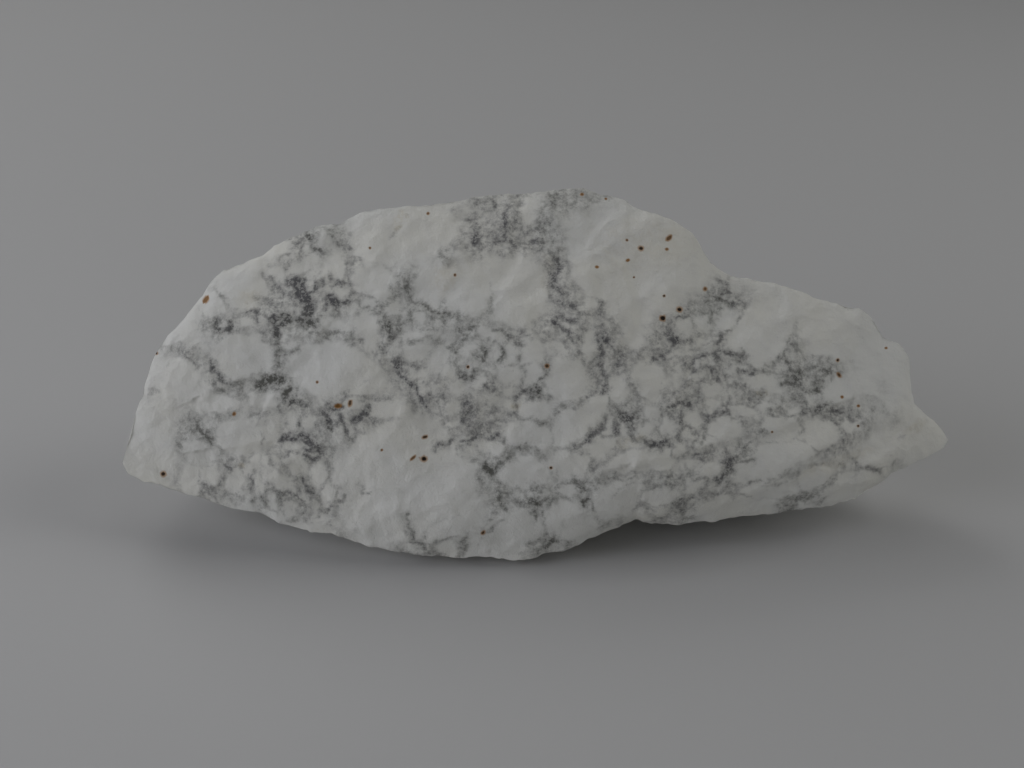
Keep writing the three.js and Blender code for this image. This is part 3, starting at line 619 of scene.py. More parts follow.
# %% Veins of the middle
VEIN_AND_SHADE_STROKES += [
    (0.6, 1.0, (-30.6, 13.2), (-30.0, 11.2), (-29.2, 8.6)),
    (0.85, 1.8, (-29.4, 12.4), (-28.8, 10.6), (-29.0, 8.8)),
    (0.6, 1.0, (-28.0, 11.2), (-27.0, 12.2), (-25.2, 12.8)),
    (0.55, 1.0, (-29.2, 8.6), (-30.2, 7.4), (-30.6, 6.2)), (0.5, 1.0, (-32.2, 5.8), (-29.8, 6.2)),
    (0.45, 0.7, (-28.4, 8.2), (-27.0, 7.6), (-25.0, 8.4), (-23.0, 9.2), (-20.8, 9.2)),
    (0.4, 1.4, (-25.8, 12.2), (-24.0, 12.0), (-22.8, 11.0)),
    (0.4, 0.8, (-20.6, 13.4), (-20.4, 11.0), (-20.6, 8.8)),
    (0.45, 1.0, (-20.4, 11.6), (-19.0, 10.8), (-17.6, 11.0)), (0.4, 0.6, (-20.2, 8.8), (-17.8, 7.4)),
    (0.75, 1.0, (-18.0, 7.2), (-16.8, 6.8), (-15.8, 6.4)),
    (0.65, 1.0, (-15.8, 6.6), (-14.8, 7.6), (-14.4, 8.8), (-13.2, 9.8)),
    (0.75, 2.0, (-15.8, 13.0), (-14.8, 11.6), (-14.6, 10.6)), (0.7, 1.6, (-14.4, 11.2), (-12.6, 11.6)),
    (0.5, 0.8, (-16.0, 9.8), (-17.0, 8.8)), (0.35, 0.6, (-13.0, 10.0), (-11.2, 9.0)),
    (0.5, 0.8, (-11.4, 9.2), (-10.4, 8.0), (-10.4, 7.2)),
    (0.9, 1.4, (-10.6, 7.0), (-10.2, 5.6), (-10.8, 4.4)), (0.65, 1.8, (-12.2, 6.0), (-11.4, 5.4)),
    (0.45, 0.6, (-10.0, 7.6), (-8.2, 7.6), (-7.0, 7.2)),
    (0.75, 1.0, (-7.0, 7.4), (-6.6, 6.0), (-7.0, 4.6)), (0.45, 0.6, (-17.0, 6.2), (-17.0, 3.0)),
    (0.9, 1.4, (-15.0, 2.2), (-14.0, 1.4), (-12.6, 1.4), (-11.6, 2.4)),
    (0.5, 0.8, (-15.2, 4.0), (-15.0, 2.2)), (0.7, 0.8, (-7.6, 11.2), (-6.0, 10.2), (-4.8, 9.2)),
    (0.65, 0.8, (-4.8, 9.2), (-3.0, 10.0), (-1.6, 9.6), (-0.2, 10.2)),
    (0.5, 0.6, (-3.2, 8.6), (-2.8, 6.8), (-2.8, 4.4), (-2.4, 2.2)), (0.7, 1.2, (-3.6, 8.4), (-2.8, 7.6)),
    (0.8, 1.4, (-28.0, 5.4), (-27.4, 4.0), (-26.6, 2.6)),
    (0.65, 0.8, (-26.6, 2.6), (-25.0, 3.4), (-23.2, 3.6)), (0.4, 0.6, (-29.2, 2.8), (-27.6, 2.8)),
    (0.9, 1.1, (-27.6, 3.8), (-26.6, 1.8), (-24.6, -0.4), (-23.0, -2.6), (-21.8, -3.8)),
    (0.6, 1.0, (-21.0, -4.2), (-19.6, -3.6), (-18.8, -2.8)),
    (0.45, 0.8, (-19.6, -3.6), (-18.8, -4.4), (-17.8, -5.4)),
    (0.35, 0.6, (-21.2, -4.6), (-19.8, -6.8), (-18.6, -8.6)), (0.55, 1.2, (-18.0, -7.0), (-17.4, -7.0)),
    (0.45, 1.2, (-20.8, 0.8), (-19.6, -0.4)), (0.4, 1.6, (-18.8, 0.8), (-17.6, -0.6)),
    (0.7, 1.2, (-10.0, -0.4), (-8.4, -1.4)), (0.4, 1.0, (-8.6, 0.8), (-7.2, -0.6)),
    (0.4, 0.8, (-8.0, -1.6), (-7.2, -2.8)),
    (0.85, 1.6, (-3.8, -2.6), (-2.0, -2.0), (-0.6, -1.4), (0.4, -0.8)),
    (1, 2.4, (-1.2, -1.6), (0.2, -1.6)), (0.75, 0.8, (0.4, -0.4), (1.2, 1.0), (2.0, 2.4), (2.6, 3.6)),
    (0.8, 1.8, (-14.4, -4.0), (-13.6, -5.8), (-13.8, -7.6)), (0.6, 1.4, (-13.4, -4.0), (-11.8, -5.6)),
    (0.6, 1.2, (-12.8, -6.8), (-12.0, -8.0)), (0.5, 1.0, (-11.4, -4.2), (-9.6, -3.4)),
    (0.6, 1.4, (-9.8, -5.2), (-8.8, -5.2)), (0.4, 0.6, (-13.0, -4.0), (-13.4, -2.8), (-14.6, -1.4)),
    (0.6, 1.0, (-3.8, -4.2), (-3.4, -6.0), (-2.8, -7.2)),
    (0.5, 0.6, (-2.8, -7.0), (-1.0, -7.0), (1.0, -7.8)),
    (0.55, 0.8, (-16.4, -10.4), (-14.4, -10.0), (-12.8, -10.0), (-11.0, -8.8)),
    (0.5, 0.8, (-11.0, -8.8), (-9.0, -8.0), (-7.0, -7.4), (-5.2, -6.6)),
    (0.5, 0.8, (-13.0, -10.0), (-14.0, -8.6)),
    (0.8, 1.0, (-14.4, -11.2), (-13.0, -11.4), (-11.4, -10.6), (-9.0, -10.4), (-7.0, -10.0)),
    (0.5, 0.6, (-7.0, -10.0), (-5.8, -11.4), (-4.6, -12.8)),
    (0.75, 1.2, (-19.2, -12.0), (-17.8, -11.6), (-16.6, -10.8)),
    (0.5, 1.0, (-19.6, -13.6), (-19.4, -12.4)),
]

# %% Veins of the middle, below
VEIN_AND_SHADE_STROKES += [
    (0.6, 1.2, (-3.4, -13.2), (-1.6, -13.0)), (0.4, 0.8, (-1.6, -13.0), (0.4, -13.6)),
    (0.8, 1.4, (-4.2, -14.6), (-5.4, -15.0), (-6.4, -15.6), (-7.6, -16.6)),
    (0.4, 0.8, (-10.6, -14.4), (-9.4, -14.0), (-8.4, -15.2)), (1, 2.6, (-9.8, -16.6), (-9.0, -17.6)),
    (1, 1.6, (-8.4, -16.4), (-9.0, -18.0)), (0.45, 0.8, (-9.0, -19.0), (-9.4, -20.6), (-11.0, -21.0)),
    (0.5, 1.0, (-11.2, -19.4), (-10.8, -20.0)), (0.8, 1.4, (-7.0, -21.8), (-6.8, -23.2)),
    (0.95, 1.4, (-6.0, -24.6), (-5.8, -25.2)), (0.65, 0.8, (-6.6, -23.2), (-6.0, -24.6)),
    (0.3, 0.6, (-7.0, -25.8), (-8.0, -26.8), (-9.6, -27.2)),
    (0.65, 1.6, (-5.4, -23.4), (-4.0, -23.8), (-2.4, -23.6)), (0.5, 0.8, (-5.6, -21.4), (-4.6, -22.8)),
    (0.4, 1.0, (-3.6, -20.6), (-2.8, -21.0)), (0.7, 1.4, (-1.4, -21.4), (0.6, -21.0)),
    (0.95, 2.0, (-0.8, -23.4), (0.4, -24.0)), (0.7, 1.2, (0.4, -23.6), (2.2, -23.2)),
    (0.75, 1.4, (-0.6, -25.6), (0.0, -26.8)), (0.4, 0.8, (-10.2, -29.8), (-9.0, -29.2), (-7.0, -27.6)),
    (0.65, 0.7, (-25.8, -26.4), (-25.6, -28.2), (-24.8, -29.8), (-24.0, -31.4), (-22.8, -32.0)),
    (0.8, 1.6, (-22.8, -32.0), (-22.2, -32.4)), (0.3, 1.2, (-26.2, -28.0), (-25.8, -30.4)),
    (0.45, 0.6, (-19.4, -31.8), (-18.0, -31.2), (-16.6, -30.8), (-15.2, -31.2)),
    (0.65, 1.2, (-14.6, -31.8), (-14.4, -33.2), (-14.6, -34.6)),
    (0.5, 1.4, (-26.6, -33.8), (-24.6, -34.4), (-22.2, -34.0)),
    (0.5, 1.2, (-20.2, -33.8), (-17.8, -34.4)), (0.4, 1.4, (-3.0, -33.8), (-1.0, -33.6), (1.0, -32.6)),
    (0.95, 1.4, (2.4, -32.8), (3.2, -32.0), (4.2, -31.4)),
    (0.65, 1.2, (-1.0, -32.2), (0.6, -31.4), (2.2, -31.2)), (0.5, 1.0, (5.6, -32.4), (6.4, -32.0)),
    (0.25, 1.2, (5.2, -29.6), (6.0, -27.2)),
    (0.5, 0.8, (2.6, -7.2), (4.0, -6.4), (5.4, -5.4), (7.4, -4.8)),
    (0.65, 0.9, (7.4, -4.8), (9.0, -3.8), (10.6, -2.4), (12.4, -1.4)),
    (0.85, 1.0, (10.4, -2.4), (11.0, -2.0)), (0.75, 0.8, (3.8, -6.8), (4.2, -6.6)),
    (0.6, 1.0, (-0.2, -7.2), (1.2, -7.8), (2.8, -7.6)),
    (0.8, 1.0, (14.4, -6.2), (13.8, -8.0), (12.6, -9.4), (11.0, -10.6)),
    (0.8, 1.0, (11.0, -10.6), (10.0, -11.6), (8.0, -12.6)),
    (0.45, 0.6, (8.0, -12.6), (5.4, -12.8), (3.4, -12.6), (2.4, -11.8)),
    (0.45, 0.8, (-1.0, -12.8), (0.4, -13.6), (1.4, -14.0)), (0.35, 0.6, (3.6, -17.6), (4.8, -19.0)),
    (0.5, 0.8, (14.4, -15.4), (15.4, -14.0), (16.4, -13.2)),
    (0.45, 1.0, (10.6, -17.6), (11.4, -16.2), (12.8, -15.4), (14.4, -15.2)),
    (0.55, 0.6, (13.0, -19.4), (14.6, -19.2), (16.6, -19.0)),
    (0.6, 0.8, (16.6, -19.0), (18.4, -19.2), (20.2, -18.8)),
    (0.6, 0.8, (3.6, -21.4), (4.4, -20.4), (6.2, -20.0), (7.4, -19.8)),
    (0.8, 1.2, (7.8, -19.4), (8.8, -19.6), (9.6, -21.0)), (0.75, 1.2, (10.2, -21.6), (11.8, -21.4)),
    (0.8, 1.4, (11.2, -21.6), (10.4, -22.8), (9.8, -24.0)), (0.5, 0.8, (6.8, -23.2), (9.4, -23.2)),
    (0.45, 0.6, (3.6, -21.4), (4.0, -22.4), (5.2, -22.6)),
    (0.4, 0.6, (15.2, -22.4), (17.0, -21.2), (19.8, -19.8)), (0.35, 0.6, (13.0, -19.8), (12.0, -21.0)),
]

# %% Veins to the right of the middle
VEIN_AND_SHADE_STROKES += [
    (1, 1.8, (3.8, 12.4), (4.4, 11.4)), (0.8, 1.0, (4.8, 13.0), (5.8, 14.2)),
    (0.8, 1.2, (5.6, 11.0), (6.8, 9.8), (7.2, 8.4)), (0.55, 0.8, (7.0, 9.8), (8.8, 9.4), (8.6, 7.6)),
    (0.3, 2.8, (3.0, 9.6), (5.0, 9.6)), (0.6, 1.2, (11.0, 14.0), (12.4, 13.2), (13.6, 11.8)),
    (0.75, 1.4, (13.6, 11.8), (14.0, 10.6), (13.8, 9.4)), (1, 2.2, (13.2, 9.2), (14.6, 8.8)),
    (0.92, 1.6, (13.2, 8.8), (13.0, 6.8), (13.0, 4.6), (13.2, 2.8)),
    (0.9, 1.4, (13.2, 2.8), (13.8, 1.4), (13.8, -0.2), (13.8, -1.8)),
    (0.45, 1.2, (12.4, 1.8), (11.0, 2.2), (10.6, 3.6)), (0.5, 1.0, (7.8, 5.2), (9.4, 5.8)),
    (0.55, 0.8, (10.0, 4.6), (10.6, 4.6)), (0.35, 0.6, (3.4, 7.2), (5.0, 6.2), (6.6, 5.2)),
    (0.65, 0.8, (14.8, 8.4), (16.6, 7.6), (18.6, 6.8), (20.2, 6.6)),
    (0.7, 1.2, (13.8, 5.4), (15.2, 5.4), (16.2, 6.2)),
    (0.75, 1.2, (16.0, 5.6), (16.6, 3.8), (15.4, 2.6), (14.0, 1.6)),
    (0.7, 1.4, (16.6, 6.4), (18.0, 5.2), (17.8, 3.6)), (0.4, 1.0, (20.6, 5.2), (22.2, 6.2), (24.2, 6.8)),
    (0.7, 0.6, (24.4, 10.0), (24.0, 9.2), (24.6, 8.2)), (1, 2.2, (26.8, 10.4), (27.4, 9.4), (27.8, 8.2)),
    (0.6, 0.8, (26.2, 10.8), (27.6, 12.0)), (0.75, 1.2, (27.8, 7.8), (29.4, 8.4), (31.2, 9.0)),
    (0.8, 1.2, (28.0, 7.6), (26.6, 6.4), (25.2, 5.4)), (0.95, 1.2, (24.0, 5.4), (25.8, 5.4)),
    (0.35, 0.6, (29.8, 7.8), (32.0, 8.2), (33.8, 9.4), (35.6, 10.2)),
    (0.95, 1.2, (37.4, 10.0), (36.8, 8.4), (36.4, 6.8)), (1, 1.6, (34.8, 6.4), (36.6, 6.4), (38.4, 6.0)),
    (0.95, 1.4, (36.4, 6.8), (36.4, 4.6)), (0.88, 1.6, (38.2, 6.0), (40.0, 5.4), (42.0, 5.4)),
    (1, 1.6, (31.4, 4.6), (32.6, 5.4), (34.2, 6.2)), (0.8, 1.0, (32.0, 2.6), (33.4, 3.4), (35.6, 3.6)),
    (0.5, 1.0, (28.8, 4.0), (30.8, 5.4)), (1, 1.8, (36.0, 2.4), (36.6, 1.0)),
    (0.6, 1.0, (37.4, 2.6), (38.6, 1.2), (38.6, -0.4), (40.2, -0.8)),
    (0.65, 1.4, (31.0, -0.4), (32.0, -1.4), (32.4, -2.8)), (0.7, 1.0, (32.8, 0.2), (34.6, 0.4)),
    (0.8, 1.8, (41.0, 0.0), (41.6, -1.6), (41.8, -3.0)), (0.6, 1.0, (40.2, -3.4), (38.6, -4.0)),
    (1, 1.2, (27.2, -4.4), (29.2, -3.8)), (1, 1.4, (30.0, -3.6), (30.8, -4.8)),
    (0.85, 1.4, (29.6, -5.6), (29.0, -7.2), (29.2, -8.8), (28.2, -10.6)),
    (0.75, 1.0, (29.2, -8.8), (31.0, -8.6), (32.4, -10.0)),
    (0.85, 1.6, (33.6, -6.2), (34.6, -7.2), (36.2, -6.4)),
    (0.88, 1.6, (36.2, -6.4), (37.4, -5.4), (38.6, -5.4)),
    (0.6, 1.0, (34.6, -7.2), (34.2, -9.2), (33.4, -11.4)),
    (0.8, 1.2, (19.6, 0.0), (20.0, -1.4), (20.4, -2.8)),
    (0.55, 1.4, (15.0, -3.8), (14.6, -5.2), (14.4, -6.4)),
    (0.5, 1.0, (15.4, -4.6), (17.8, -4.2), (20.4, -3.8)), (1, 2.6, (17.6, -6.0), (18.6, -7.2)),
    (1, 2.0, (18.4, -7.2), (19.8, -6.2)), (1, 1.6, (18.4, -8.0), (19.0, -9.8)),
    (0.9, 1.4, (16.2, -6.0), (16.4, -7.6), (16.0, -9.8)),
    (0.6, 0.8, (16.0, -9.8), (14.8, -10.4), (13.2, -10.4)),
    (0.75, 1.0, (19.2, -9.8), (19.6, -11.0), (21.6, -11.8)),
    (1, 2.0, (23.0, -12.2), (24.6, -11.8), (26.2, -12.0)),
    (0.6, 0.8, (24.6, -11.8), (25.4, -10.4), (26.4, -9.8)),
    (0.45, 0.8, (24.0, -6.6), (25.0, -7.4), (24.0, -8.8), (23.6, -10.0)),
    (0.5, 0.8, (26.0, -5.6), (24.8, -7.0)), (0.5, 0.8, (16.6, -11.8), (18.2, -13.0)),
    (0.3, 0.4, (25.0, -0.2), (26.6, 1.6), (27.4, 3.8), (29.0, 5.2)),
    (0.3, 0.4, (24.0, -2.2), (26.6, -0.8), (28.4, 1.6), (29.4, 3.8)),
    (0.28, 0.4, (24.6, -3.6), (27.4, -2.2), (29.8, 0.8), (30.6, 2.8)),
    (0.3, 0.4, (21.0, -3.8), (23.4, -4.0), (26.2, -3.6), (28.2, -2.6)),
    (0.3, 0.5, (22.0, 3.8), (23.4, 4.8), (25.8, 4.6)), (0.5, 1.0, (26.6, -12.2), (28.2, -11.2)),
    (0.35, 1.0, (31.0, 6.8), (33.0, 7.2), (35.0, 8.0)),
]

# %% Veins of the right end
VEIN_AND_SHADE_STROKES += [
    (0.95, 1.8, (40.0, 5.4), (41.0, 5.0)), (0.7, 0.8, (41.6, 6.8), (42.2, 5.2)),
    (0.65, 1.0, (42.4, 4.4), (43.2, 3.6), (44.2, 3.0)), (0.9, 1.0, (41.8, 2.4), (42.4, 2.4)),
    (0.7, 1.0, (43.6, 2.8), (45.4, 2.8), (47.2, 2.6)), (0.65, 0.8, (46.2, 4.0), (46.6, 4.0)),
    (0.8, 1.0, (47.0, 2.6), (47.8, 3.8), (48.8, 4.8)),
    (0.95, 1.2, (48.8, 5.0), (50.0, 5.6), (50.4, 6.8)),
    (0.65, 0.8, (50.4, 6.8), (50.6, 8.2), (51.2, 9.4)),
    (0.45, 0.5, (51.2, 9.4), (51.6, 10.4), (52.2, 11.2)),
    (0.95, 1.4, (50.0, 5.6), (50.8, 4.4), (50.8, 2.8), (50.4, 1.4)),
    (0.6, 0.8, (48.2, 2.0), (50.0, 2.2)), (1, 2.4, (51.0, 1.0), (52.4, 1.4), (53.2, 2.2)),
    (0.9, 1.2, (49.6, 0.4), (52.2, 0.4)), (0.85, 1.8, (53.2, 2.4), (54.6, 2.8), (56.0, 3.4)),
    (0.85, 1.8, (56.0, 3.2), (57.4, 2.8), (58.8, 2.2)),
    (0.5, 1.2, (54.2, 3.8), (55.6, 4.4), (57.6, 4.6)), (0.8, 1.2, (58.4, 2.0), (57.4, 1.0)),
    (0.85, 1.6, (53.2, 1.4), (53.0, -0.2), (54.0, -1.0)), (0.6, 1.6, (54.6, 1.2), (55.0, -0.6)),
    (1, 1.8, (56.2, 1.4), (56.6, 0.0), (56.4, -1.4)),
    (0.45, 1.6, (50.8, -0.4), (50.6, -2.2), (51.4, -4.0)),
    (0.6, 1.4, (52.4, -0.4), (52.6, -2.2), (53.8, -3.2)), (0.4, 1.2, (51.6, -4.0), (53.8, -4.4)),
    (1, 1.8, (54.4, -5.4), (56.0, -5.0), (57.4, -4.6)),
    (0.9, 1.2, (57.4, -4.6), (58.4, -4.0), (59.0, -4.8)),
    (0.7, 1.0, (54.4, -5.8), (53.4, -6.8), (53.0, -8.2), (53.0, -9.4)),
    (0.8, 1.0, (53.2, -7.2), (53.2, -7.8)),
    (0.8, 1.4, (59.0, -5.2), (60.6, -5.6), (62.2, -6.0), (63.6, -7.0)),
    (0.75, 1.2, (57.8, -6.0), (59.4, -6.6), (61.8, -7.2)),
    (0.75, 1.0, (59.4, -7.0), (60.6, -8.2), (61.2, -9.4)), (0.45, 0.6, (61.2, -9.4), (62.8, -10.6)),
    (0.45, 0.7, (63.0, -11.0), (65.0, -9.8), (66.6, -8.6)),
    (0.55, 1.0, (60.6, -13.0), (61.6, -12.6), (62.4, -11.6)),
    (0.45, 0.8, (57.0, -13.6), (59.4, -13.4), (60.8, -13.0)),
    (0.3, 1.8, (66.8, -3.2), (68.6, -4.0), (69.4, -6.2)), (0.3, 1.0, (72.0, -5.8), (71.6, -8.2)),
    (0.25, 1.2, (62.0, 4.4), (63.8, 4.0)), (0.6, 1.4, (47.0, -5.8), (48.6, -5.0), (50.2, -6.2)),
    (0.5, 0.8, (44.0, -9.6), (45.6, -7.4), (47.2, -5.8)),
    (0.55, 1.2, (41.6, -8.0), (42.6, -8.8), (43.6, -9.4)),
    (0.6, 1.0, (43.0, -11.6), (44.2, -10.4), (45.4, -9.6), (46.6, -10.2)),
    (0.75, 1.0, (41.8, -12.8), (43.6, -11.4)), (0.8, 1.4, (45.4, -1.2), (45.6, -2.8)),
    (0.7, 1.0, (44.0, -3.2), (44.8, -3.0)), (0.45, 1.8, (42.8, -1.8), (45.0, -2.6)),
    (0.6, 1.0, (44.2, -4.4), (44.6, -5.2)), (0.4, 0.8, (66.6, -6.8), (67.6, -5.2)),
    (0.2, 1.0, (70.6, -11.2), (73.0, -10.6), (75.4, -9.0), (78.0, -7.6)),
    (0.2, 1.0, (69.0, -0.2), (69.8, -2.2), (69.0, -4.2)),
]

# %% Veins of the right, below, and one stroke of painted shade
VEIN_AND_SHADE_STROKES += [
    (0.45, 0.8, (23.0, -17.8), (24.4, -17.6), (25.8, -18.2)),
    (0.65, 1.2, (23.2, -20.6), (24.2, -20.2), (25.6, -20.0)),
    (0.65, 1.2, (25.6, -20.0), (27.2, -20.6), (29.0, -19.8)), (0.5, 1.2, (27.4, -18.2), (28.2, -18.6)),
    (0.45, 1.0, (21.0, -23.2), (22.0, -22.0), (23.2, -20.6)), (0.5, 1.0, (30.6, -13.6), (31.8, -13.4)),
    (0.8, 1.0, (32.4, -14.2), (33.6, -14.0), (35.2, -13.4)), (0.6, 1.2, (32.2, -19.2), (33.8, -18.8)),
    (0.3, 1.4, (30.2, -16.0), (31.0, -18.4)), (1, 2.0, (40.0, -14.6), (39.0, -16.0), (38.4, -17.2)),
    (0.9, 1.4, (38.4, -17.2), (37.8, -18.6), (36.6, -19.6)), (1, 1.8, (36.4, -19.4), (36.8, -19.8)),
    (0.4, 1.0, (35.6, -20.2), (34.4, -21.4)), (0.65, 1.4, (43.0, -13.0), (41.6, -13.8), (40.4, -14.6)),
    (0.8, 1.0, (40.4, -16.0), (41.4, -15.8), (43.0, -15.4)),
    (0.6, 1.2, (33.8, -21.6), (32.6, -22.4), (31.4, -22.6)), (0.8, 1.2, (31.4, -22.6), (30.4, -23.4)),
    (0.5, 1.0, (30.4, -23.2), (29.6, -22.0), (28.8, -21.2)), (0.85, 1.8, (28.4, -24.6), (29.6, -25.6)),
    (0.8, 1.6, (29.2, -23.6), (29.8, -25.0)), (0.5, 1.2, (26.2, -26.2), (28.2, -26.6)),
    (0.55, 1.2, (23.8, -25.2), (22.2, -25.0), (21.2, -24.0)), (0.5, 1.2, (23.0, -26.2), (25.0, -27.2)),
    (0.5, 1.2, (39.2, -21.6), (39.8, -22.6)),
    (0.6, 1.0, (40.2, -21.6), (40.6, -20.6), (41.4, -20.0), (43.0, -19.8), (44.8, -19.6)),
    (0.4, 1.0, (46.0, -20.4), (48.0, -19.8), (49.8, -19.6)),
    (0.5, 0.8, (47.8, -19.4), (49.0, -18.4), (50.2, -18.0), (52.2, -17.2)),
    (0.35, 0.6, (55.4, -17.4), (57.0, -16.4), (58.2, -15.8), (60.2, -15.2)),
    (0.5, 0.8, (60.2, -15.4), (61.2, -16.2), (62.6, -16.8), (64.0, -17.0)),
    (0.8, 1.2, (64.2, -16.6), (65.2, -16.8), (66.2, -17.2), (67.6, -16.8)),
    (0.8, 1.6, (50.2, -23.8), (51.4, -24.4), (50.6, -25.6)),
    (0.65, 1.2, (51.0, -23.6), (52.6, -23.4), (54.2, -23.4), (55.8, -23.0)),
    (0.6, 0.8, (55.8, -22.8), (57.6, -21.2), (59.0, -20.2), (60.0, -19.6)),
    (0.5, 0.8, (54.2, -24.4), (55.4, -24.0)), (0.45, 0.8, (71.4, -15.8), (71.8, -15.8)),
    # painted shade: this grey stroke stands for the shade on the lower edge beside the notch in the rim, not
    # for a vein
    (0.4, 1.2, (13.6, -28.0), (17.0, -27.4)),
]

# %% Small knots of film where veins meet
VEIN_AND_SHADE_STROKES += [
    (0.8, 1.4, (-50.2, 11.6), (-48.6, 12.0)), (0.6, 1.4, (32.6, 4.4), (34.4, 5.2)),
    (0.85, 1.6, (36.8, 16.4), (38.6, 16.0)), (0.6, 1.2, (24.8, -13.4), (26.4, -12.6)),
    (0.6, 1.4, (7.2, 14.6), (8.8, 13.4)), (0.7, 1.6, (54.0, 2.2), (56.0, 1.4)),
    (0.65, 1.4, (40.2, -1.8), (41.8, -1.2)), (0.55, 1.2, (37.6, -1.2), (38.8, -0.8)),
    (0.7, 1.2, (-26.8, 3.4), (-25.4, 2.2)), (0.65, 1.4, (35.6, 7.8), (37.0, 6.6)),
    (0.7, 1.4, (-44.8, 14.0), (-43.8, 12.8)), (0.7, 1.4, (-49.6, 17.6), (-48.4, 16.8)),
    (0.6, 1.2, (27.0, 10.4), (28.2, 9.6)), (0.55, 1.2, (28.0, 7.6), (29.4, 7.0)),
    (0.7, 1.8, (4.0, 37.6), (6.0, 37.2)), (0.55, 1.2, (-70.8, -11.8), (-69.6, -11.0)),
    (0.55, 1.2, (4.8, 12.2), (6.0, 11.6)), (0.5, 1.0, (11.4, 12.0), (12.6, 11.4)),
    (0.5, 1.0, (8.2, 11.0), (9.4, 10.6)), (0.7, 1.6, (-44.8, 17.2), (-44.4, 15.6)),
    (0.5, 1.2, (26.8, 3.2), (28.0, 2.4)), (0.55, 1.2, (37.4, 4.2), (38.6, 3.4)),
    (0.6, 1.2, (1.4, 10.2), (2.8, 9.4)), (0.6, 1.4, (-7.8, 35.2), (-7.0, 34.0)),
    (0.6, 1.4, (-5.2, 35.6), (-4.8, 34.0)), (0.5, 1.2, (-11.0, 30.6), (-9.8, 30.2)),
    (0.55, 1.2, (14.6, 6.0), (15.4, 4.8)), (0.6, 1.2, (-51.6, 18.2), (-50.4, 17.8)),
    (0.7, 1.2, (-49.4, 19.4), (-48.2, 19.0)), (0.5, 1.2, (-18.8, -4.2), (-17.6, -3.8)),
]
print(len(VEIN_AND_SHADE_STROKES), "veins")

# %% Patches of fine rubble, and yellow stains
RUBBLE = [  # u, w, half length, half width, slope in degrees, strength
    (-8, 33, 11, 6, 0, 0.40),  # along the crest
    (-47, 16, 8, 6, 0, 0.22),
    (-20, 1, 4.5, 5, 0, 0.36),
    (-6, 12, 6, 5, 0, 0.22),
    (36, -1, 8, 7, 0, 0.52),
    (30, 3, 6, 5, 0, 0.42),
    (27, -20, 16, 6, 14, 0.34),
    (54, 1, 4, 4.5, 0, 0.40),
    (-50, -19, 14, 7, -12, 0.40),
    (-45, -9, 4.5, 6, 0, 0.28),
    (-4, -24, 7, 3, 8, 0.28),
    (50, -10, 12, 2.2, 24, 0.20),
    (68, -7, 8, 3.0, 22, 0.12),
    (-62, -9, 5, 4, 0, 0.16),
    (10, -33, 6, 1.6, 24, 0.30),
    (-20, -34, 8, 1.6, 0, 0.26),
]
STAINS = [  # u, w, half length, half width, slope in degrees, strength of the yellow tint
    (-27, 33, 3.0, 1.2, 60, 0.55),
    (-39, -4.2, 1.0, 0.7, 40, 0.90),
    (-59, -16.3, 1.0, 0.7, 0, 0.70),
    (45.6, -2, 1.4, 0.9, 0, 0.60),
    (19.5, -11.5, 3.6, 1.4, 10, 0.45),
    (-4, -4.2, 1.6, 1.0, 0, 0.50),
    (-18, 21, 5, 3, 60, 0.20),
    (2.4, 22, 1.6, 5, 0, 0.18),
    (60, -16, 9, 1.6, 22, 0.22),
    (76, -8.6, 3, 1.2, 24, 0.22),
    (-57, 17, 3, 2, 0, 0.22),
    (21, 28, 12, 7, 0, 0.16),
]
print(len(RUBBLE), "patches of rubble and", len(STAINS), "stains")

# %% Rust specks
SPECKS = [  # u, w, half length, half width, slope in degrees, how black (0 is orange rust)
    (-74.4, -18.0, 0.42, 0.42, 0, 0.95), (-65.9, 17.0, 0.85, 0.34, 52, 0.35),
    (-60.2, -6.0, 0.30, 0.24, 60, 0.45), (-43.6, 0.4, 0.20, 0.20, 0, 0.60),
    (-37.0, -3.8, 0.62, 0.30, 78, 0.75), (-22.0, -10.6, 0.50, 0.26, 20, 0.85),
    (-24.4, -14.8, 0.60, 0.22, 40, 0.55), (-22.2, -15.0, 0.52, 0.44, 0, 1.00),
    (-30.6, -13.2, 0.18, 0.18, 0, 0.50), (-33.0, 27.2, 0.18, 0.18, 0, 0.55),
    (-21.4, 34.2, 0.22, 0.22, 0, 0.55), (-16.0, 21.8, 0.21, 0.21, 0, 0.75),
    (-13.4, 3.4, 0.24, 0.24, 0, 1.00), (-10.4, -29.8, 0.36, 0.25, 30, 0.75),
    (21.2, 27.2, 0.44, 0.40, 0, 0.95), (26.9, 29.3, 0.66, 0.34, 40, 0.60),
    (26.4, 27.0, 0.26, 0.22, 0, 0.40), (18.6, 24.8, 0.26, 0.22, 0, 0.25),
    (12.4, 23.4, 0.27, 0.21, 0, 0.20), (18.4, 28.8, 0.20, 0.20, 0, 0.70),
    (2.4, 3.6, 0.36, 0.32, 0, 0.80), (25.6, 13.2, 0.58, 0.50, 0, 1.00),
    (29.0, 15.0, 0.46, 0.44, 0, 1.00), (34.0, 19.0, 0.30, 0.30, 0, 0.55),
    (25.8, 17.6, 0.20, 0.20, 0, 1.00), (19.8, 21.4, 0.15, 0.15, 0, 0.85),
    (3.2, -16.8, 0.24, 0.24, 0, 1.00), (9.4, 38.0, 0.27, 0.21, 0, 0.45),
    (14.2, 37.2, 0.20, 0.16, 0, 0.45), (60.6, 4.8, 0.26, 0.26, 0, 0.95),
    (60.8, 1.8, 0.46, 0.26, 130, 0.70), (61.4, -2.6, 0.22, 0.22, 0, 0.25),
    (64.6, -4.4, 0.24, 0.20, 0, 0.35), (64.6, -8.4, 0.19, 0.19, 0, 0.95),
    (70.2, 7.2, 0.22, 0.17, 0, 0.30), (-75.8, 6.2, 0.24, 0.24, 0, 0.95),
    (47.4, -9.6, 0.16, 0.16, 0, 0.70), (-39.4, -4.4, 0.55, 0.32, 10, 0.45),
]
print(len(SPECKS), "specks")

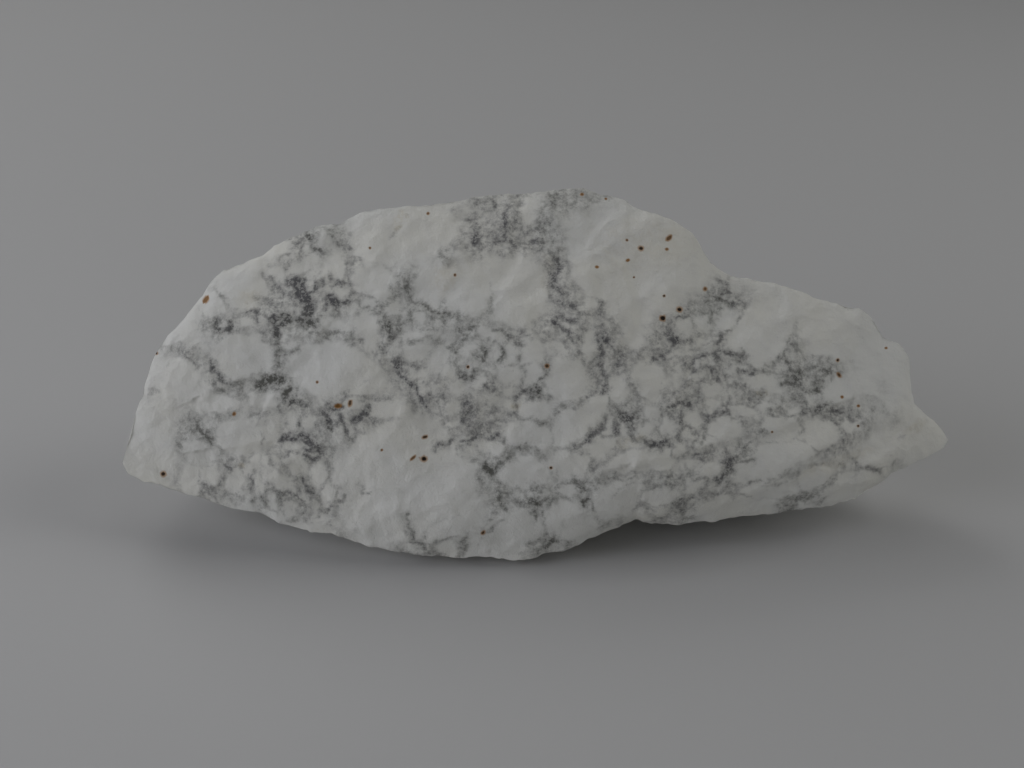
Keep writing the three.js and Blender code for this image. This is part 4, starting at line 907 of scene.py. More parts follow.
# %% White nodules
NODULES = [  # u, w, half length, half width, slope in degrees
    (-59, 5.4, 6.2, 4.4, 0), (-42.6, 19, 5, 0.9, 82), (-44.8, 21, 1.8, 1.2, 50),
    (-39.6, 23.4, 2.4, 1.6, 90), (-39, 18.6, 2, 1, 10), (-36.6, 15.2, 1.2, 1, 90),
    (-33.6, 10.8, 3.8, 2.4, 98), (-40.4, 11.8, 3.4, 1.2, -12), (-32.4, 20.6, 4, 3.4, 0),
    (-46.4, 24, 4, 1.4, 25), (-58.4, 19.2, 5.2, 4, 20), (-49.8, 9.8, 1.2, 0.9, 90),
    (-46.8, 10.6, 1.6, 0.9, 0), (-49.2, 8, 1.6, 0.7, 0), (-40, 2.4, 9.6, 5.6, -15),
    (-64.4, 16, 3, 2.2, 20), (-56.6, 12.6, 2.6, 1, 0), (-48.8, 15.6, 1.2, 0.8, 0),
    (-28.8, 15.4, 1.6, 1.4, 0), (-32.8, 16.2, 1.8, 0.8, 0), (-28.8, 7, 1.4, 1.2, 0),
    (-62.6, 11.8, 0.8, 0.8, 0), (-71.4, 11.8, 5.6, 2.8, 30), (-73.4, 1.2, 6.8, 3.6, 10),
    (-46, 26.6, 1.2, 0.8, 0), (-41.8, 28.2, 1.8, 1.2, 90), (-52, 27.2, 3, 1.2, 35),
    (-51.8, 21.4, 2.2, 1.8, 0), (-16, 18.8, 8.4, 4.4, -8), (-3, 18.4, 6.8, 5.4, 80),
    (-26, 29.8, 11, 4.8, 10), (-1, 35.2, 2.8, 1.8, 70), (19, 24.4, 12.4, 10, -20),
    (7, 11.4, 1.4, 1.2, 0), (3.8, 9.8, 2, 1, 0), (10.8, 7.8, 2.8, 1.4, 80), (-8.4, 9.8, 3.2, 1.2, -20),
    (-24.8, 10, 2.8, 0.8, 8), (-23.8, 6.4, 3, 1.8, 0), (-19, 6, 2, 1.6, 0), (-13, 7.4, 1.6, 1.4, 0),
    (-8.6, 6.4, 1.6, 1.2, 90), (-4.8, 6, 2.8, 1.6, 90), (-0.4, 6.4, 2.4, 2.2, 90),
    (5.2, 6.8, 2.6, 1, -15), (-5.2, 1.8, 2.4, 2.2, 0), (-0.6, 2.2, 2.4, 1.6, 90),
    (6.4, 1, 4.8, 4.2, 90), (-24.2, 2, 2.4, 1.6, 0), (-17.2, 2, 1.8, 1.6, 90), (14.8, 4.2, 1.4, 1.2, 0),
    (19.4, 8.6, 2.6, 1.6, 10), (22.8, 0.8, 4, 3.4, 90), (-26.2, 14.2, 1.2, 1, 90),
    (-23.6, 13, 1.2, 1, 0), (-16.6, 11.4, 1, 0.8, 0), (-19.8, 11.2, 1.2, 1, 0),
    (-13, 10.8, 1.2, 0.8, 0), (11, 15.2, 2, 1.2, 35), (8, 7.8, 1.2, 1, 0), (45, 9.8, 8.4, 5.6, 50),
    (61, 9.8, 8.4, 4.8, -15), (38.4, 13, 3.6, 1.8, 50), (29.6, 11.4, 1.8, 1.6, 0),
    (33.4, 12, 2, 1.4, 0), (31.4, 7, 4.4, 1, 25), (34.8, 5, 1, 1, 0), (39.6, 3.4, 1.4, 1.4, 0),
    (49.2, 3.4, 1.6, 1, 0), (46, 0, 4.2, 2, -10), (28.2, 3.2, 2.4, 1, 80), (32.4, 2.2, 2, 0.8, 10),
    (-76.8, -11.2, 6.8, 5.2, 100), (-69, -19.4, 3, 2, 90), (-67.2, -13.8, 3.4, 2.6, -20),
    (-65.4, -18, 2, 1.8, 90), (-59.4, -10.8, 4.8, 3.4, -15), (-62.6, -3.8, 5.6, 1.6, 3),
    (-54.6, -3, 3.8, 1.6, 0), (-52.6, -9.2, 3.2, 1.6, 85), (-49.2, -7.4, 1.8, 1.6, 0),
    (-45.8, -7.8, 1.6, 1.2, 0), (-59.8, -19.6, 3, 1.8, 100), (-55.6, -20, 2.6, 1, 115),
    (-56, -14.8, 1, 0.8, 0), (-50.6, -19.8, 2.8, 1.2, -30), (-47.8, -16.2, 2.6, 1.4, -40),
    (-43.2, -18.4, 3, 1.4, 95), (-41.4, -22.4, 2.2, 1.6, 80), (-57.2, -24.4, 1.8, 1.2, 0),
    (-53.2, -26, 2, 1.2, -40), (-49, -25, 1.4, 1.2, 0), (-47, -28.4, 2, 1, -15),
    (-52.6, -23.8, 1.2, 1.2, 0), (-43.4, -26.4, 1.4, 1.2, 0), (-48.6, -12.6, 1.6, 1, 0),
    (-44.4, -14.2, 1.2, 1, 0), (-39.2, -10.4, 1.4, 1.2, 0), (-36.6, -3.6, 2.4, 1.6, 30),
    (-29.8, -5, 3.4, 1.4, 0), (-26, -19.2, 14.4, 12, 20), (-57.6, -17.2, 1.2, 1, 0),
    (-52.6, -15.8, 1.4, 1.2, 0), (-23.4, -0.8, 1.8, 1.6, 90), (-16, -0.4, 2, 1.4, 0),
    (-11.4, 0.4, 1.6, 1.2, 0), (-16.6, -4.8, 1.4, 1.4, 0), (-9, -2.6, 1.4, 1, 0),
    (-5.4, -4.2, 1.4, 1, 0), (-5.6, -1.4, 1, 0.8, 0), (-0.4, -4.8, 3.4, 2.2, -15),
    (-1.4, -10.2, 6, 2.6, 0), (9, -7.2, 7.2, 3.2, 38), (-8.8, -12.4, 2.6, 1.8, 0),
    (-15.2, -14.2, 3.6, 2.4, 15), (-16.6, -8.4, 2, 1.2, 20), (-2.6, -17.6, 5, 3, 5),
    (6.8, -16.2, 4, 3.2, 0), (13.8, -12.6, 3.4, 1.8, 15), (14.4, -8.4, 1.6, 1, 90),
    (16.4, -0.8, 2.8, 2.6, 90), (22, -15.4, 8, 2.2, 6), (16.4, -23.2, 6, 3.6, 35),
    (25, -22, 4.4, 1.8, 10), (5.8, -21.4, 2.4, 1.4, 0), (7, -27, 5.6, 3.6, 10), (-4, -29.8, 6.6, 5, 20),
    (-3, -22.6, 1, 0.8, 0), (2, -21.8, 1.2, 0.8, 0), (-24.6, -32.8, 2, 1, 0), (-17, -33.2, 2, 1.8, 0),
    (-19, -28.6, 4.4, 2.4, 0), (-12.6, -32.6, 2.4, 1.6, 90), (17.8, -9, 1.4, 1, 90),
    (22.2, -9.4, 1.8, 1.4, 0), (23.4, -6, 1.8, 1.2, 0), (26.4, -8.6, 1.6, 1.4, 90),
    (19.6, -11.8, 1.8, 1, 0), (23, -25.8, 3.2, 1.4, 10), (38.4, -8.6, 3.4, 2.2, 10),
    (32, -6.8, 1.8, 1.6, 0), (30.2, -9.8, 1.4, 1.2, 0), (35.6, -4.2, 1.8, 1.2, 0),
    (41.6, -5.4, 3, 1.2, -5), (35.2, -1, 1.8, 1.6, 0), (39.2, -0.4, 1.4, 1.2, 90),
    (54.6, 0, 1.6, 1.4, 90), (55.4, -2.4, 1.4, 0.9, 0), (60.6, -1.2, 3.6, 2.4, 0),
    (63, -8.2, 1.6, 1.2, 0), (49, -9.2, 4.4, 2.6, 10), (57, -9.8, 4.4, 3, 0), (47, -15.4, 9, 3.4, 20),
    (35.4, -17.2, 1.8, 1.6, 90), (32.2, -20, 2, 1.2, 20), (47.4, -21.2, 7.2, 2, 8),
    (40, -24.4, 8.4, 2.2, 8), (55.4, -19.2, 4.4, 1.8, 25), (63, -20.4, 6, 2.2, 15),
    (54, -24.8, 2, 0.8, 0), (70, -13.2, 5.6, 3, 25), (46.2, -4.8, 1.4, 1, 0), (51, -5.2, 2, 1.2, 0),
    (28.2, -13.8, 2, 1.8, 0), (34, -11.2, 2, 1, 20), (30.2, -16.2, 1.6, 1.2, 0),
    (42.6, -13.6, 2, 1, 30),
]
print(len(NODULES), "nodules")

# %% How veins and patches fade
VEIN_EDGE = 0.25  # a vein keeps its full darkness over this share of its half width
VEIL = 0.46  # darkness of the thin film beside a vein, as a share of the vein's own
VEIL_REACH = 1.0  # millimetres over which that film thins out
RUBBLE_REACH = 2.2  # and those over which the rubble beside a vein does
PATCH_CORE = 0.4  # a soft patch has its full strength inside this share of its size
PATCH_END = 1.15  # and none past this share


# %% Turn the strokes, nodules and patches into numbers on the grid
def turned(du, dw, slope):
    """Offsets turned so that the first runs along a slope given in degrees."""
    angle = math.radians(slope)
    return math.cos(angle) * du + math.sin(angle) * dw, math.cos(angle) * dw - math.sin(angle) * du


def strokes_at(u, w):
    """How dark the strokes are, as soft-edged cores with exponential veils, and how near they are."""
    dark, near_strokes = np.zeros(u.size), np.zeros(u.size)
    for darkness, width, *line in VEIN_AND_SHADE_STROKES:
        corners = np.array(line)
        reach = width + 2.5 * RUBBLE_REACH
        middle = (corners.max(axis=0) + corners.min(axis=0)) / 2
        half = np.ptp(corners, axis=0) / 2 + reach
        close = np.flatnonzero((np.abs(u - middle[0]) < half[0]) & (np.abs(w - middle[1]) < half[1]))
        distance = np.abs(side_distance(u[close], w[close], line))
        beside = np.maximum(distance - width / 2, 0)
        core = darkness * (1 - smoothstep(2 * distance / width, VEIN_EDGE, 2 - VEIN_EDGE))
        veil = darkness * VEIL * np.exp(-beside / VEIL_REACH)
        dark[close] = np.maximum(dark[close], np.maximum(core, veil))
        near_strokes[close] = np.maximum(near_strokes[close], darkness * np.exp(-beside / RUBBLE_REACH))
    return dark, near_strokes


def nodules_at(u, w):
    """How far a point lies outside the nearest nodule, and how much further off the second nearest is."""
    nearest, second = np.full(u.size, 99.0), np.full(u.size, 99.0)
    for centre_u, centre_w, half_length, half_width, slope in NODULES:
        along, across = turned(u - centre_u, w - centre_w, slope)
        beyond = np.hypot(along / half_length, across / half_width) - 1
        outside = beyond * math.sqrt(half_length * half_width)
        second = np.minimum(second, np.maximum(nearest, outside))
        nearest = np.minimum(nearest, outside)
    return nearest, second - nearest


def patches_at(u, w, patches):
    """Sum of soft ellipses: full strength inside PATCH_CORE of the size, and nothing past PATCH_END."""
    total = np.zeros(u.size)
    for centre_u, centre_w, half_length, half_width, slope, strength in patches:
        along, across = turned(u - centre_u, w - centre_w, slope)
        share = np.hypot(along / half_length, across / half_width)
        total += strength * (1 - smoothstep(share, PATCH_CORE, PATCH_END))
    return np.minimum(total, 1)


# %% [markdown]
# The sides that carry no strokes get a net of their own. It is the set of walls between cells grown round
# random points in space: the wall is where the two nearest points are equally far. Bending the space first
# bends the walls, and a slow noise decides where the net is thick, thin or missing. A cell texture in the
# material could draw such walls too, but as numbers on the points they join the strokes at the rim.

# %% The net of the sides without strokes
NETS = [  # size of the cells, width of a wall, noise layer, and the presence where it starts and is full
    (13, 1.2, 3, -0.5, 0.1),
    (5.5, 0.7, 5, -0.05, 0.45),
]


def cell_walls(grid, size, layer):
    """Distance to the nearest wall between two cells, as the gap between the two nearest cell points."""
    places = grid / size
    base = np.floor(places)
    first = np.full(len(grid), 9.0)
    second = np.full(len(grid), 9.0)
    for step in np.ndindex(3, 3, 3):
        corner = base + step - 1
        i, j, k = corner.T
        centre = corner + np.stack(cell_point(i, j, k, layer), axis=-1)
        distance = np.linalg.norm(centre - places, axis=-1)
        second = np.where(distance < first, first, np.minimum(second, distance))
        first = np.minimum(first, distance)
    return (second - first) * size / 2


def bent_space(grid, size, reach):
    """Places pushed by up to reach in swirls of one size."""
    pushes = [tooth(grid, size, layer) for layer in (11.0, 13.0, 17.0)]
    return grid + reach * np.stack(pushes, axis=-1)


def net_at(grid):
    """How dark the net is, as walls with a core and a veil where a noise lets them be, and how near it is."""
    bent = bent_space(bent_space(grid, 15, 4), 3, 0.7)
    presence = tooth(grid, 26, 23.0)
    total, near_net = np.zeros(len(grid)), np.zeros(len(grid))
    for size, width, layer, start, full in NETS:
        distance = cell_walls(bent, size, layer)
        thickness = width * (0.75 + 0.9 * tooth(grid, 1.4 * size, 29.0 + layer))
        strength = smoothstep(presence, start, full) * (0.65 + 0.35 * tooth(grid, 5, 37.0))
        core = 1 - smoothstep(distance / np.maximum(thickness, 0.05), 0.3, 1.5)
        veil = VEIL * np.exp(-distance / VEIL_REACH)
        total = np.maximum(total, strength * np.maximum(core * (thickness > 0.05), veil))
        beside = np.maximum(distance - thickness, 0)
        near_net = np.maximum(near_net, strength * np.exp(-beside / RUBBLE_REACH))
    return total, near_net


# %% Specks, drawn on the face and scattered elsewhere
SPECK_REACH = 0.85  # a speck and its rust ring end within this distance
SCATTERED = 60  # specks on the sides that carry no listed marks


def specks_at(u, w):
    """Offset to the nearest speck in units of its half sizes, with its distance and tone."""
    nearest = np.full(u.size, np.inf)
    place, tones = np.zeros((u.size, 3)), np.zeros(u.size)
    for centre_u, centre_w, half_length, half_width, slope, tone in SPECKS:
        distance = np.hypot(u - centre_u, w - centre_w)
        along, across = turned(u - centre_u, w - centre_w, slope)
        closer = distance < nearest
        place[closer] = np.stack([along / half_length, across / half_width, 0 * along], axis=-1)[closer]
        tones[closer] = tone
        nearest = np.minimum(nearest, distance)
    return place, nearest, tones


def scattered_specks(grid, allowed):
    """The same for specks at random points of the grid where they are allowed."""
    random = np.random.default_rng(7)
    centres = grid[random.choice(np.flatnonzero(allowed), SCATTERED, replace=False)]
    sizes, tones = random.uniform(0.22, 0.5, SCATTERED), random.uniform(0.2, 1.0, SCATTERED)
    gaps = np.linalg.norm(grid[:, None, :] - centres[None, :, :], axis=-1)
    which = gaps.argmin(axis=1)
    return (grid - centres[which]) / sizes[which, None], gaps.min(axis=1), tones[which]


# %% Strengths of the film and the rubble
STRAY = [(2.2, 0.50), (0.9, 0.40)]  # size and reach of the two noises that push the marks about
FADE_BEHIND = 4.0  # the marks of the face fade out over about this depth behind its rim
WALL_DARKNESS = 0.50  # the film between two nodules that touch
WALL_WIDTH = 0.7
WALL_FALL = 1.3  # how suddenly a wall thins out towards its nodules
WALL_SPILL = 0.3  # it stays whole this far outside them
WALL_END = 0.8  # and thins out over about this distance past that
WALL_ALONE = 0.45  # share of its darkness that a wall has far from any vein
WALL_GAIN = 0.75  # and what it gains beside one
RING_DARKNESS = 0.32  # the film round a nodule that lies in rubble
RING_WIDTH = 0.35
FILM_STATIONS = (-60, -45, -25, 0, 40)  # the film of the veins is thickest to the left of the middle
FILM_THICKNESS = (1.0, 1.18, 1.08, 1.0, 0.87)
HIDDEN_RUBBLE = 0.7  # strength of the rubble along the net of the other sides


# %% How the marks stray
def strayed(place, layer):
    """A coordinate pushed to and fro by two noises, so that no mark has a drawn edge."""
    for size, reach in STRAY:
        place = place + reach * noise(grid_u / size, grid_w / size, layer)
        layer += 2
    return place.ravel()


# %% Put the marks of all sides together
ragged_u, ragged_w = strayed(grid_u, 61), strayed(grid_w, 67)
behind = np.concatenate([np.zeros_like(front_u), back_deep - rim_depth(back_u, back_w)], axis=1).ravel()
drawn = np.exp(-behind / FADE_BEHIND)
surface = points.reshape(-1, 3)
net, near_net = net_at(surface)
dark, near_strokes = strokes_at(ragged_u, ragged_w)
outside, gap = nodules_at(ragged_u, ragged_w)
dark = dark * np.interp(ragged_u, FILM_STATIONS, FILM_THICKNESS)
zone = smoothstep(near_strokes, 0.05, 0.55)  # where there is film at all
past = np.maximum(outside - WALL_SPILL, 0)
walls = WALL_DARKNESS * np.exp(-((gap / WALL_WIDTH) ** WALL_FALL) - past / WALL_END)
rings = RING_DARKNESS * np.exp(-np.abs(outside) / RING_WIDTH)
# The film carries the darkness of the veins, walls and rings, and that of the two strokes of painted shade.
film = np.maximum(dark, np.maximum(walls * (WALL_ALONE + WALL_GAIN * zone), rings * zone))
haze = patches_at(ragged_u, ragged_w, RUBBLE)
crumb = smoothstep(outside, -0.4, 0.6) * np.maximum(zone, haze)
place_face, gap_face, tone_face = specks_at(grid_u.ravel(), grid_w.ravel())
place_else, gap_else, tone_else = scattered_specks(surface, drawn < 0.1)
on_face = drawn > 0.4
speck_place = np.where(on_face[:, None], place_face, place_else)
marks = {
    "vein_and_shade": drawn * film + (1 - drawn) * net,
    "crumb": drawn * crumb + (1 - drawn) * HIDDEN_RUBBLE * smoothstep(near_net, 0.40, 1.0),
    "stain": drawn * patches_at(ragged_u, ragged_w, STAINS),
    "trace": np.exp(-cell_walls(bent_space(surface, 9, 2.5), 7.5, 2) / 0.5),
    "speck_near": (np.where(on_face, gap_face, gap_else) < SPECK_REACH).astype(float),
    "speck_tone": np.where(on_face, tone_face, tone_else),
}
print("Veins darker than 0.3 cover", round(100 * float((marks["vein_and_shade"] > 0.3).mean()), 1), "% of the grid")

# %% [markdown]
# ## The mesh
#
# The rings are joined into quads, with a fan of triangles at each tip, and the part of the surface below
# the ground is cut off flat to make the foot, as the solid's own foot is cut. One plane does it, so a
# bisection is simpler and safer than a boolean cut.

# %% Faces between rings
def ring_faces(rings, around):
    """The numbers of the points in rings that follow a first point, its fan, and the quads between rings."""
    at = 1 + np.arange(rings)[:, None] * around + np.arange(around)[None, :]
    fan = np.stack([np.zeros(around, int), at[0], np.roll(at[0], -1)], axis=-1)
    a, b = at[:-1], at[1:]
    quads = np.stack([a, b, np.roll(b, -1, axis=1), np.roll(a, -1, axis=1)], axis=-1)
    return at, fan.tolist() + quads.reshape(-1, 4).tolist()


# %% The stone's mesh
def ring_mesh(name, grid, first, last, marks, places):
    """A closed mesh: rings of quads, closed by a fan at each end; marks become point attributes."""
    rings, around = grid.shape[:2]
    at, faces = ring_faces(rings, around)
    last_fan = np.stack([np.full(around, rings * around + 1), np.roll(at[-1], -1), at[-1]], axis=-1)
    corners = np.concatenate([first[None], grid.reshape(-1, 3), last[None]]) * MM
    mesh = bpy.data.meshes.new(name)
    mesh.from_pydata(corners, [], faces + last_fan.tolist())
    for key, values in marks.items():
        layer = mesh.attributes.new(key, "FLOAT", "POINT")
        layer.data.foreach_set("value", np.concatenate([values[:1], values, values[-1:]]))
    layer = mesh.attributes.new("speck_place", "FLOAT_VECTOR", "POINT")
    layer.data.foreach_set("vector", np.concatenate([places[:1], places, places[-1:]]).ravel())
    return mesh


def tip(place):
    """The single point that closes one end of the rim."""
    return carry(place[0], place[1], rim_depth(place[0], place[1]))


# %% Cut the foot
def cut_foot(mesh):
    """Cuts away what lies below the ground and closes the cut with one flat face."""
    work = bmesh.new()
    work.from_mesh(mesh)
    everything = work.verts[:] + work.edges[:] + work.faces[:]
    bmesh.ops.bisect_plane(work, geom=everything, plane_co=(0, 0, 0), plane_no=(0, 0, 1), clear_inner=True)
    border = [edge for edge in work.edges if edge.is_boundary]
    bmesh.ops.triangle_fill(work, edges=border, use_beauty=True, normal=(0, 0, -1))
    bmesh.ops.triangulate(work, faces=work.faces[:])
    work.to_mesh(mesh)
    work.free()


# %% Make the stone
stone_mesh = ring_mesh("magnesite", points, tip(lower[0]), tip(lower[-1]), marks, speck_place)
cut_foot(stone_mesh)
stone_mesh.shade_smooth()
stone = bpy.data.objects.new("magnesite_surface", stone_mesh)
scene.collection.objects.link(stone)
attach(stone, "root")
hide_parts(CAD_NODE)
print("The stone has", len(stone_mesh.polygons), "triangles")

# %% [markdown]
# ## Shader sums as plain Python
#
# A material is a graph of nodes, and its sums are hard to read as links. The small class below wraps one
# socket: `a + b` adds a Math node, and `node` adds any other node. The rest are short helpers built on it.

# %% A socket that Python can calculate with
class Wire:
    """The value on a node's output socket, which Python's operators can work with."""

    def __init__(self, tree, socket=None):
        self.tree, self.socket = tree, socket

    def node(self, kind, settings=(), sockets=(), output=0):
        """Adds a node: settings are its own properties, and sockets are values or wires for its inputs."""
        made = self.tree.nodes.new(kind)
        for name, value in dict(settings).items():
            setattr(made, name, value)
        for name, value in dict(sockets).items():
            if isinstance(value, Wire):
                self.tree.links.new(value.socket, made.inputs[name])
            else:
                made.inputs[name].default_value = value
        return Wire(self.tree, made.outputs[output]) if made.outputs else made

    def math(self, operation, *values):
        """Adds a Math node with these values."""
        return self.node("ShaderNodeMath", {"operation": operation}, dict(enumerate(values)))

    def __add__(self, other):
        return self.math("ADD", self, other)

    def __sub__(self, other):
        return self.math("SUBTRACT", self, other)

    def __mul__(self, other):
        return self.math("MULTIPLY", self, other)

    def __rsub__(self, other):
        return self.math("SUBTRACT", other, self)

    __radd__ = __add__
    __rmul__ = __mul__


# %% Masks, blends and patterns
def smooth(value, low, high):
    """0 up to low, 1 from high, and an S-shaped curve between, as a Map Range node."""
    return value.node("ShaderNodeMapRange", {"interpolation_type": "SMOOTHSTEP"},
                      {"Value": value, "From Min": low, "From Max": high})


def blend(mask, first, second):
    """The first colour where the mask is 0 and the second where it is 1."""
    return mask.node("ShaderNodeMix", {"data_type": "RGBA", "clamp_factor": True},
                     {0: mask, 6: first, 7: second}, output=2)


def grain(place, size, detail=2.0, roughness=0.55, output="Factor"):
    """Soft noise with lumps of one size in millimetres, from 0 to 1."""
    output = {"Factor": 0, "Color": 1}[output]
    return place.node("ShaderNodeTexNoise", {"noise_dimensions": "3D"},
                      {"Vector": place, "Scale": 1 / (size * MM), "Detail": detail, "Roughness": roughness},
                      output)


def shifted(place, offset):
    """A place moved by a vector: noise read there has nothing to do with noise read at the first."""
    return place.node("ShaderNodeVectorMath", {"operation": "ADD"}, {0: place, 1: offset})


def stirred(place, size, reach):
    """A place pushed about by up to reach millimetres in swirls of one size."""
    push = grain(place, size, detail=2.0, output="Color")
    centred = place.node("ShaderNodeVectorMath", {"operation": "SUBTRACT"}, {0: push, 1: (0.5, 0.5, 0.5)})
    scaled = place.node("ShaderNodeVectorMath", {"operation": "SCALE"}, {0: centred, "Scale": 2 * reach * MM})
    return place.node("ShaderNodeVectorMath", {"operation": "ADD"}, {0: place, 1: scaled})


def nodule_edge(place, size):
    """Distance in nodule sizes from the wall between two nodules of a 3-D cell pattern."""
    return place.node("ShaderNodeTexVoronoi", {"feature": "DISTANCE_TO_EDGE", "voronoi_dimensions": "3D"},
                      {"Vector": place, "Scale": 1 / (size * MM), "Randomness": 1.0})


def attribute(start, name, output="Fac"):
    """A number or vector kept on the points of the mesh."""
    return start.node("ShaderNodeAttribute", {"attribute_name": name}, output={"Fac": 2, "Vector": 1}[output])


# %% [markdown]
# ## The mineral
#
# The body colour is a warm white that drifts a little from nodule to nodule. Veins and rubble are the same
# grey film seen through more or less white, so both become one ink. Fine grain breaks the ink up, small
# white crystals show through it, and it is laid over the white. Where the listed marks of the face fade out,
# behind the rim, the net of cell walls takes over, so the back and the underside carry the same kind of
# pattern.
# A rust speck is worked out from each point's place in it, so its edge is sharper than the mesh. Light
# hardly enters this dense white, so it needs no subsurface scattering.

# %% Colours and the finish
WHITE = (0.850, 0.843, 0.785, 1)
COOL_WHITE = (0.838, 0.840, 0.808, 1)
DIM_WHITE = (0.700, 0.695, 0.672, 1)
COOL_GREY = (0.130, 0.129, 0.134, 1)
OLIVE_GREY = (0.134, 0.134, 0.120, 1)
YELLOW = (0.600, 0.510, 0.300, 1)
RUST = (0.420, 0.178, 0.012, 1)
BLACK = (0.012, 0.006, 0.002, 1)
MOSS_HEIGHT = 0.32 * MM  # how far the soft lumps of the grain stand up
TOOTH_HEIGHT = 0.08 * MM  # and its fine tooth
FILM_DEPTH = 0.08 * MM  # the grey film lies this far below the white
SPECK_DEPTH = 0.12 * MM  # and the core of a speck this far


# %% The material of the stone
def magnesite_material():
    """White nodules in a net of grey film, with yellow stains and rust specks, all dull."""
    material = bpy.data.materials.new("magnesite")
    material.use_nodes = True
    tree = material.node_tree
    tree.nodes.clear()
    start = Wire(tree)
    place = start.node("ShaderNodeTexCoord", output="Object")

    # Grain of three kinds: fine tooth, soft moss, and the walls between crumbs of two sizes
    fine = grain(place, 0.35, detail=1.5, roughness=0.6)
    moss = grain(shifted(place, (3.0, 1.0, 2.0)), 2.4, detail=4.0, roughness=0.75)
    swirled = stirred(stirred(place, 4.0, 0.9), 1.3, 0.55)
    wide_walls = 1 - smooth(nodule_edge(swirled, 3.2), 0.0, 0.24)
    narrow_walls = 1 - smooth(nodule_edge(swirled, 1.9), 0.0, 0.40)
    ragged = (moss - 0.5) * 1.8 + (fine - 0.5) * 0.5
    crystals = smooth(grain(shifted(place, (5.0, 2.0, 8.0)), 0.9, detail=2.0, roughness=0.7), 0.44, 0.62)

    # One ink for veins, nodule walls, rubble and two strokes of painted shade, thinned and thickened by the
    # grain
    film = attribute(start, "vein_and_shade")
    veins = (film * 0.22 + smooth(film + ragged, -0.05, 1.15) * 0.85) * smooth(film, 0.0, 0.30)
    cloud = smooth(moss + (fine - 0.5) * 0.3, 0.38, 0.70)
    rubble = attribute(start, "crumb") * (0.06 + cloud * 0.44 + wide_walls * 0.26 + narrow_walls * 0.14)
    ink = start.math("MAXIMUM", veins, rubble) * (0.97 - crystals * 0.38)

    # The white itself
    tone = grain(shifted(place, (1.0, 6.0, 3.0)), 18, detail=1.5)
    base = blend(smooth(tone, 0.35, 0.65), WHITE, COOL_WHITE)
    base = blend(attribute(start, "trace") * moss * 0.5, base, DIM_WHITE)
    base = blend(attribute(start, "stain") * smooth(moss, 0.3, 0.7), base, YELLOW)
    film_colour = blend(smooth(tone, 0.40, 0.60), COOL_GREY, OLIVE_GREY)
    base = blend(ink, base, film_colour)

    # Rust specks: a black core in an orange ring
    gap = start.node("ShaderNodeVectorMath", {"operation": "LENGTH"},
                     {0: attribute(start, "speck_place", "Vector")}, output=1)
    far = gap + (fine - 0.5) * 0.6
    near = smooth(attribute(start, "speck_near"), 0.2, 0.9)
    blackness = attribute(start, "speck_tone")
    halo = (1 - smooth(far, 0.8, 2.2)) * near
    core = (1 - smooth(far, 0.6, 1.1)) * near
    base = blend(halo * (0.95 - blackness * 0.25), base, RUST)
    base = blend(core * blackness, base, BLACK)

    # A low bump for the grain, and a dull finish
    height = (moss - 0.5) * MOSS_HEIGHT + (fine - 0.5) * TOOTH_HEIGHT - ink * FILM_DEPTH - core * SPECK_DEPTH
    bump = start.node("ShaderNodeBump", (), {"Strength": 1.0, "Distance": 1.0, "Height": height})
    roughness = 0.80 + (fine - 0.5) * 0.12 - ink * 0.06
    shader = start.node("ShaderNodeBsdfPrincipled", (), {
        "Base Color": base, "Roughness": roughness, "Normal": bump, "Specular IOR Level": 0.35})
    start.node("ShaderNodeOutputMaterial", (), {"Surface": shader})
    return material


stone_mesh.materials.append(magnesite_material())

# %% [markdown]
# ## Floor, light and camera
#
# The stone stands on a plain pale floor, a round sheet whose edge turns up so that the camera sees no
# horizon. The light is that of a dull room: six soft lamps all round and hardly any glow between them. The
# three on the left, like a window, are the cooler ones and lift the left end. The front one is weak, so
# the overhangs keep their shadow.

# %% Floor
FLOOR_RADIUS = 1.15  # metres, where the sheet begins to turn up
FLOOR_RISE = 0.9  # radius of the quarter circle that it turns up in
FIRST_RING = 0.05  # radius of the innermost ring
FLAT_RINGS = 11
RISING_RINGS = 16
FLOOR_SECTORS = 96


def floor_profile():
    """Radii and heights of the sheet: flat to FLOOR_RADIUS, then a quarter circle up."""
    turn = np.linspace(0, np.pi / 2, RISING_RINGS)
    flat = np.linspace(FIRST_RING, FLOOR_RADIUS, FLAT_RINGS + 1)[:-1]
    radii = np.concatenate([flat, FLOOR_RADIUS + FLOOR_RISE * np.sin(turn)])
    heights = np.concatenate([0 * flat, FLOOR_RISE * (1 - np.cos(turn))])
    return radii, heights


def floor_mesh():
    """The profile turned about the z axis, with a centre point that closes it."""
    radii, heights = floor_profile()
    turns = np.linspace(0, 2 * np.pi, FLOOR_SECTORS, endpoint=False)
    x, y = radii[:, None] * np.cos(turns), radii[:, None] * np.sin(turns)
    rings = np.stack([x, y, np.broadcast_to(heights[:, None], x.shape)], axis=-1).reshape(-1, 3)
    _, faces = ring_faces(radii.size, FLOOR_SECTORS)
    mesh = bpy.data.meshes.new("floor")
    mesh.from_pydata(np.concatenate([[[0, 0, 0]], rings]), [], faces)
    mesh.shade_smooth()
    return mesh


# %% Make the floor
floor = bpy.data.objects.new("floor", floor_mesh())
scene.collection.objects.link(floor)
floor_material = bpy.data.materials.new("pale floor")
floor_material.use_nodes = True
floor_finish = floor_material.node_tree.nodes["Principled BSDF"]
floor_finish.inputs["Base Color"].default_value = (0.57, 0.57, 0.57, 1)
floor_finish.inputs["Roughness"].default_value = 0.75
floor.data.materials.append(floor_material)
print("The floor has", len(floor.data.polygons), "faces")

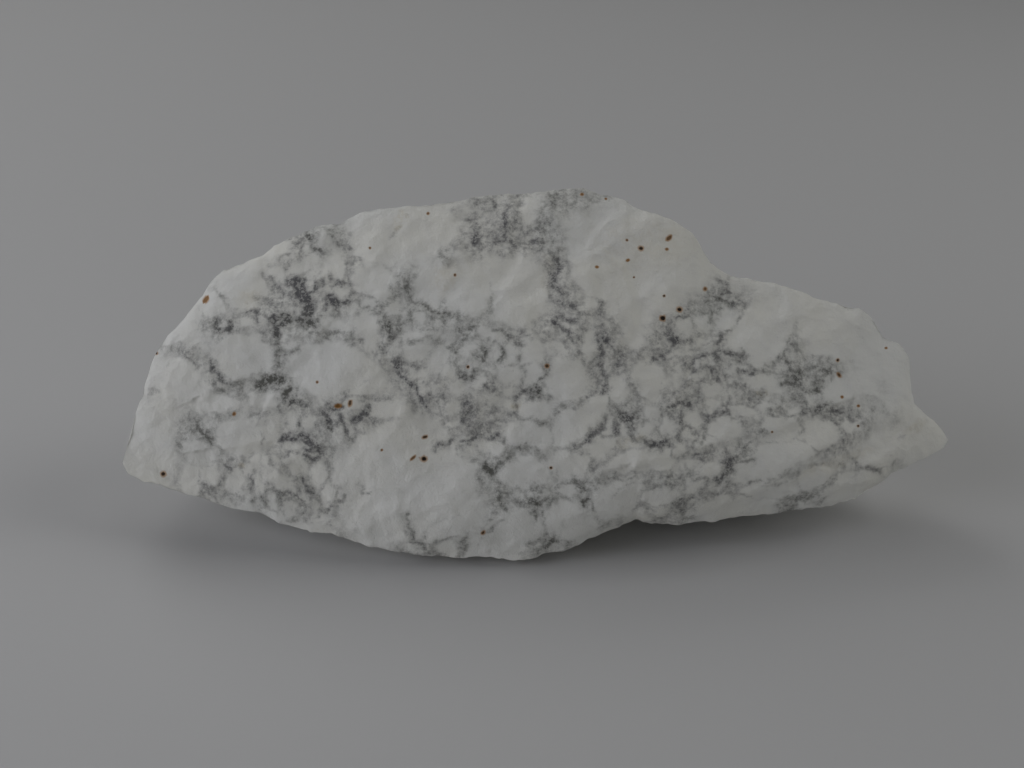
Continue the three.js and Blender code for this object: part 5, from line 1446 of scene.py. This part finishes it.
# %% Light
room = bpy.data.worlds.new("dull room")
room.use_nodes = True
glow = room.node_tree.nodes["Background"].inputs
glow["Color"].default_value = (0.98, 1.0, 1.02, 1)
glow["Strength"].default_value = 0.01
scene.world = room
LAMP_AIM = (0, 0, 0.02)  # every lamp is turned to face this point
LAMPS = [  # name, place, width in metres, watts, colour
    ("ceiling", (0.1, 0.55, 1.0), 0.9, 0.95, (1.0, 1.0, 0.98)),
    ("far left", (-0.5, 0.7, 0.7), 0.6, 1.75, (1.0, 1.0, 1.0)),
    ("left window", (-0.8, -0.1, 0.3), 0.5, 1.5, (0.98, 0.99, 1.04)),
    ("near left", (-0.45, -0.35, 0.35), 0.3, 0.45, (0.97, 0.98, 1.05)),
    ("right", (0.8, 0.0, 0.6), 0.6, 1.9, (1.0, 1.0, 0.99)),
    ("front", (0.0, -1.0, 0.45), 0.8, 0.78, (1.0, 1.0, 0.98)),
]


def soft_lamp(name, place, width, watts, colour):
    """A square area lamp at a place, turned by its tilt from straight down and its bearing."""
    lamp = bpy.data.lights.new(name, "AREA")
    lamp.shape = "SQUARE"
    lamp.size = width
    lamp.energy = watts
    lamp.color = colour
    holder = bpy.data.objects.new(name, lamp)
    x, y, z = np.array(LAMP_AIM, float) - np.array(place, float)
    holder.location = place
    holder.rotation_euler = (math.atan2(math.hypot(x, y), -z), 0, math.atan2(y, x) - math.pi / 2)
    scene.collection.objects.link(holder)


for lamp in LAMPS:
    soft_lamp(*lamp)
print("The room has", len(LAMPS), "soft lamps")
scene.view_settings.view_transform = "Standard"

# %% Camera
sight = np.array([0.0, math.cos(LEAN), -math.sin(LEAN)])
face_origin = np.array([FACE_SHIFT + SIGHT_SHIFT, FACE_SETBACK, FACE_HEIGHT])
camera = bpy.data.objects.new("camera", bpy.data.cameras.new("camera"))
camera.data.lens = 50
camera.data.sensor_width = 36
camera.data.clip_start = 0.01
camera.location = (face_origin - SIGHT_LENGTH * sight) * MM
camera.rotation_euler = (math.pi / 2 - LEAN, 0, 0)
scene.collection.objects.link(camera)
scene.camera = camera
print("The camera stands at", [round(value, 3) for value in camera.location])
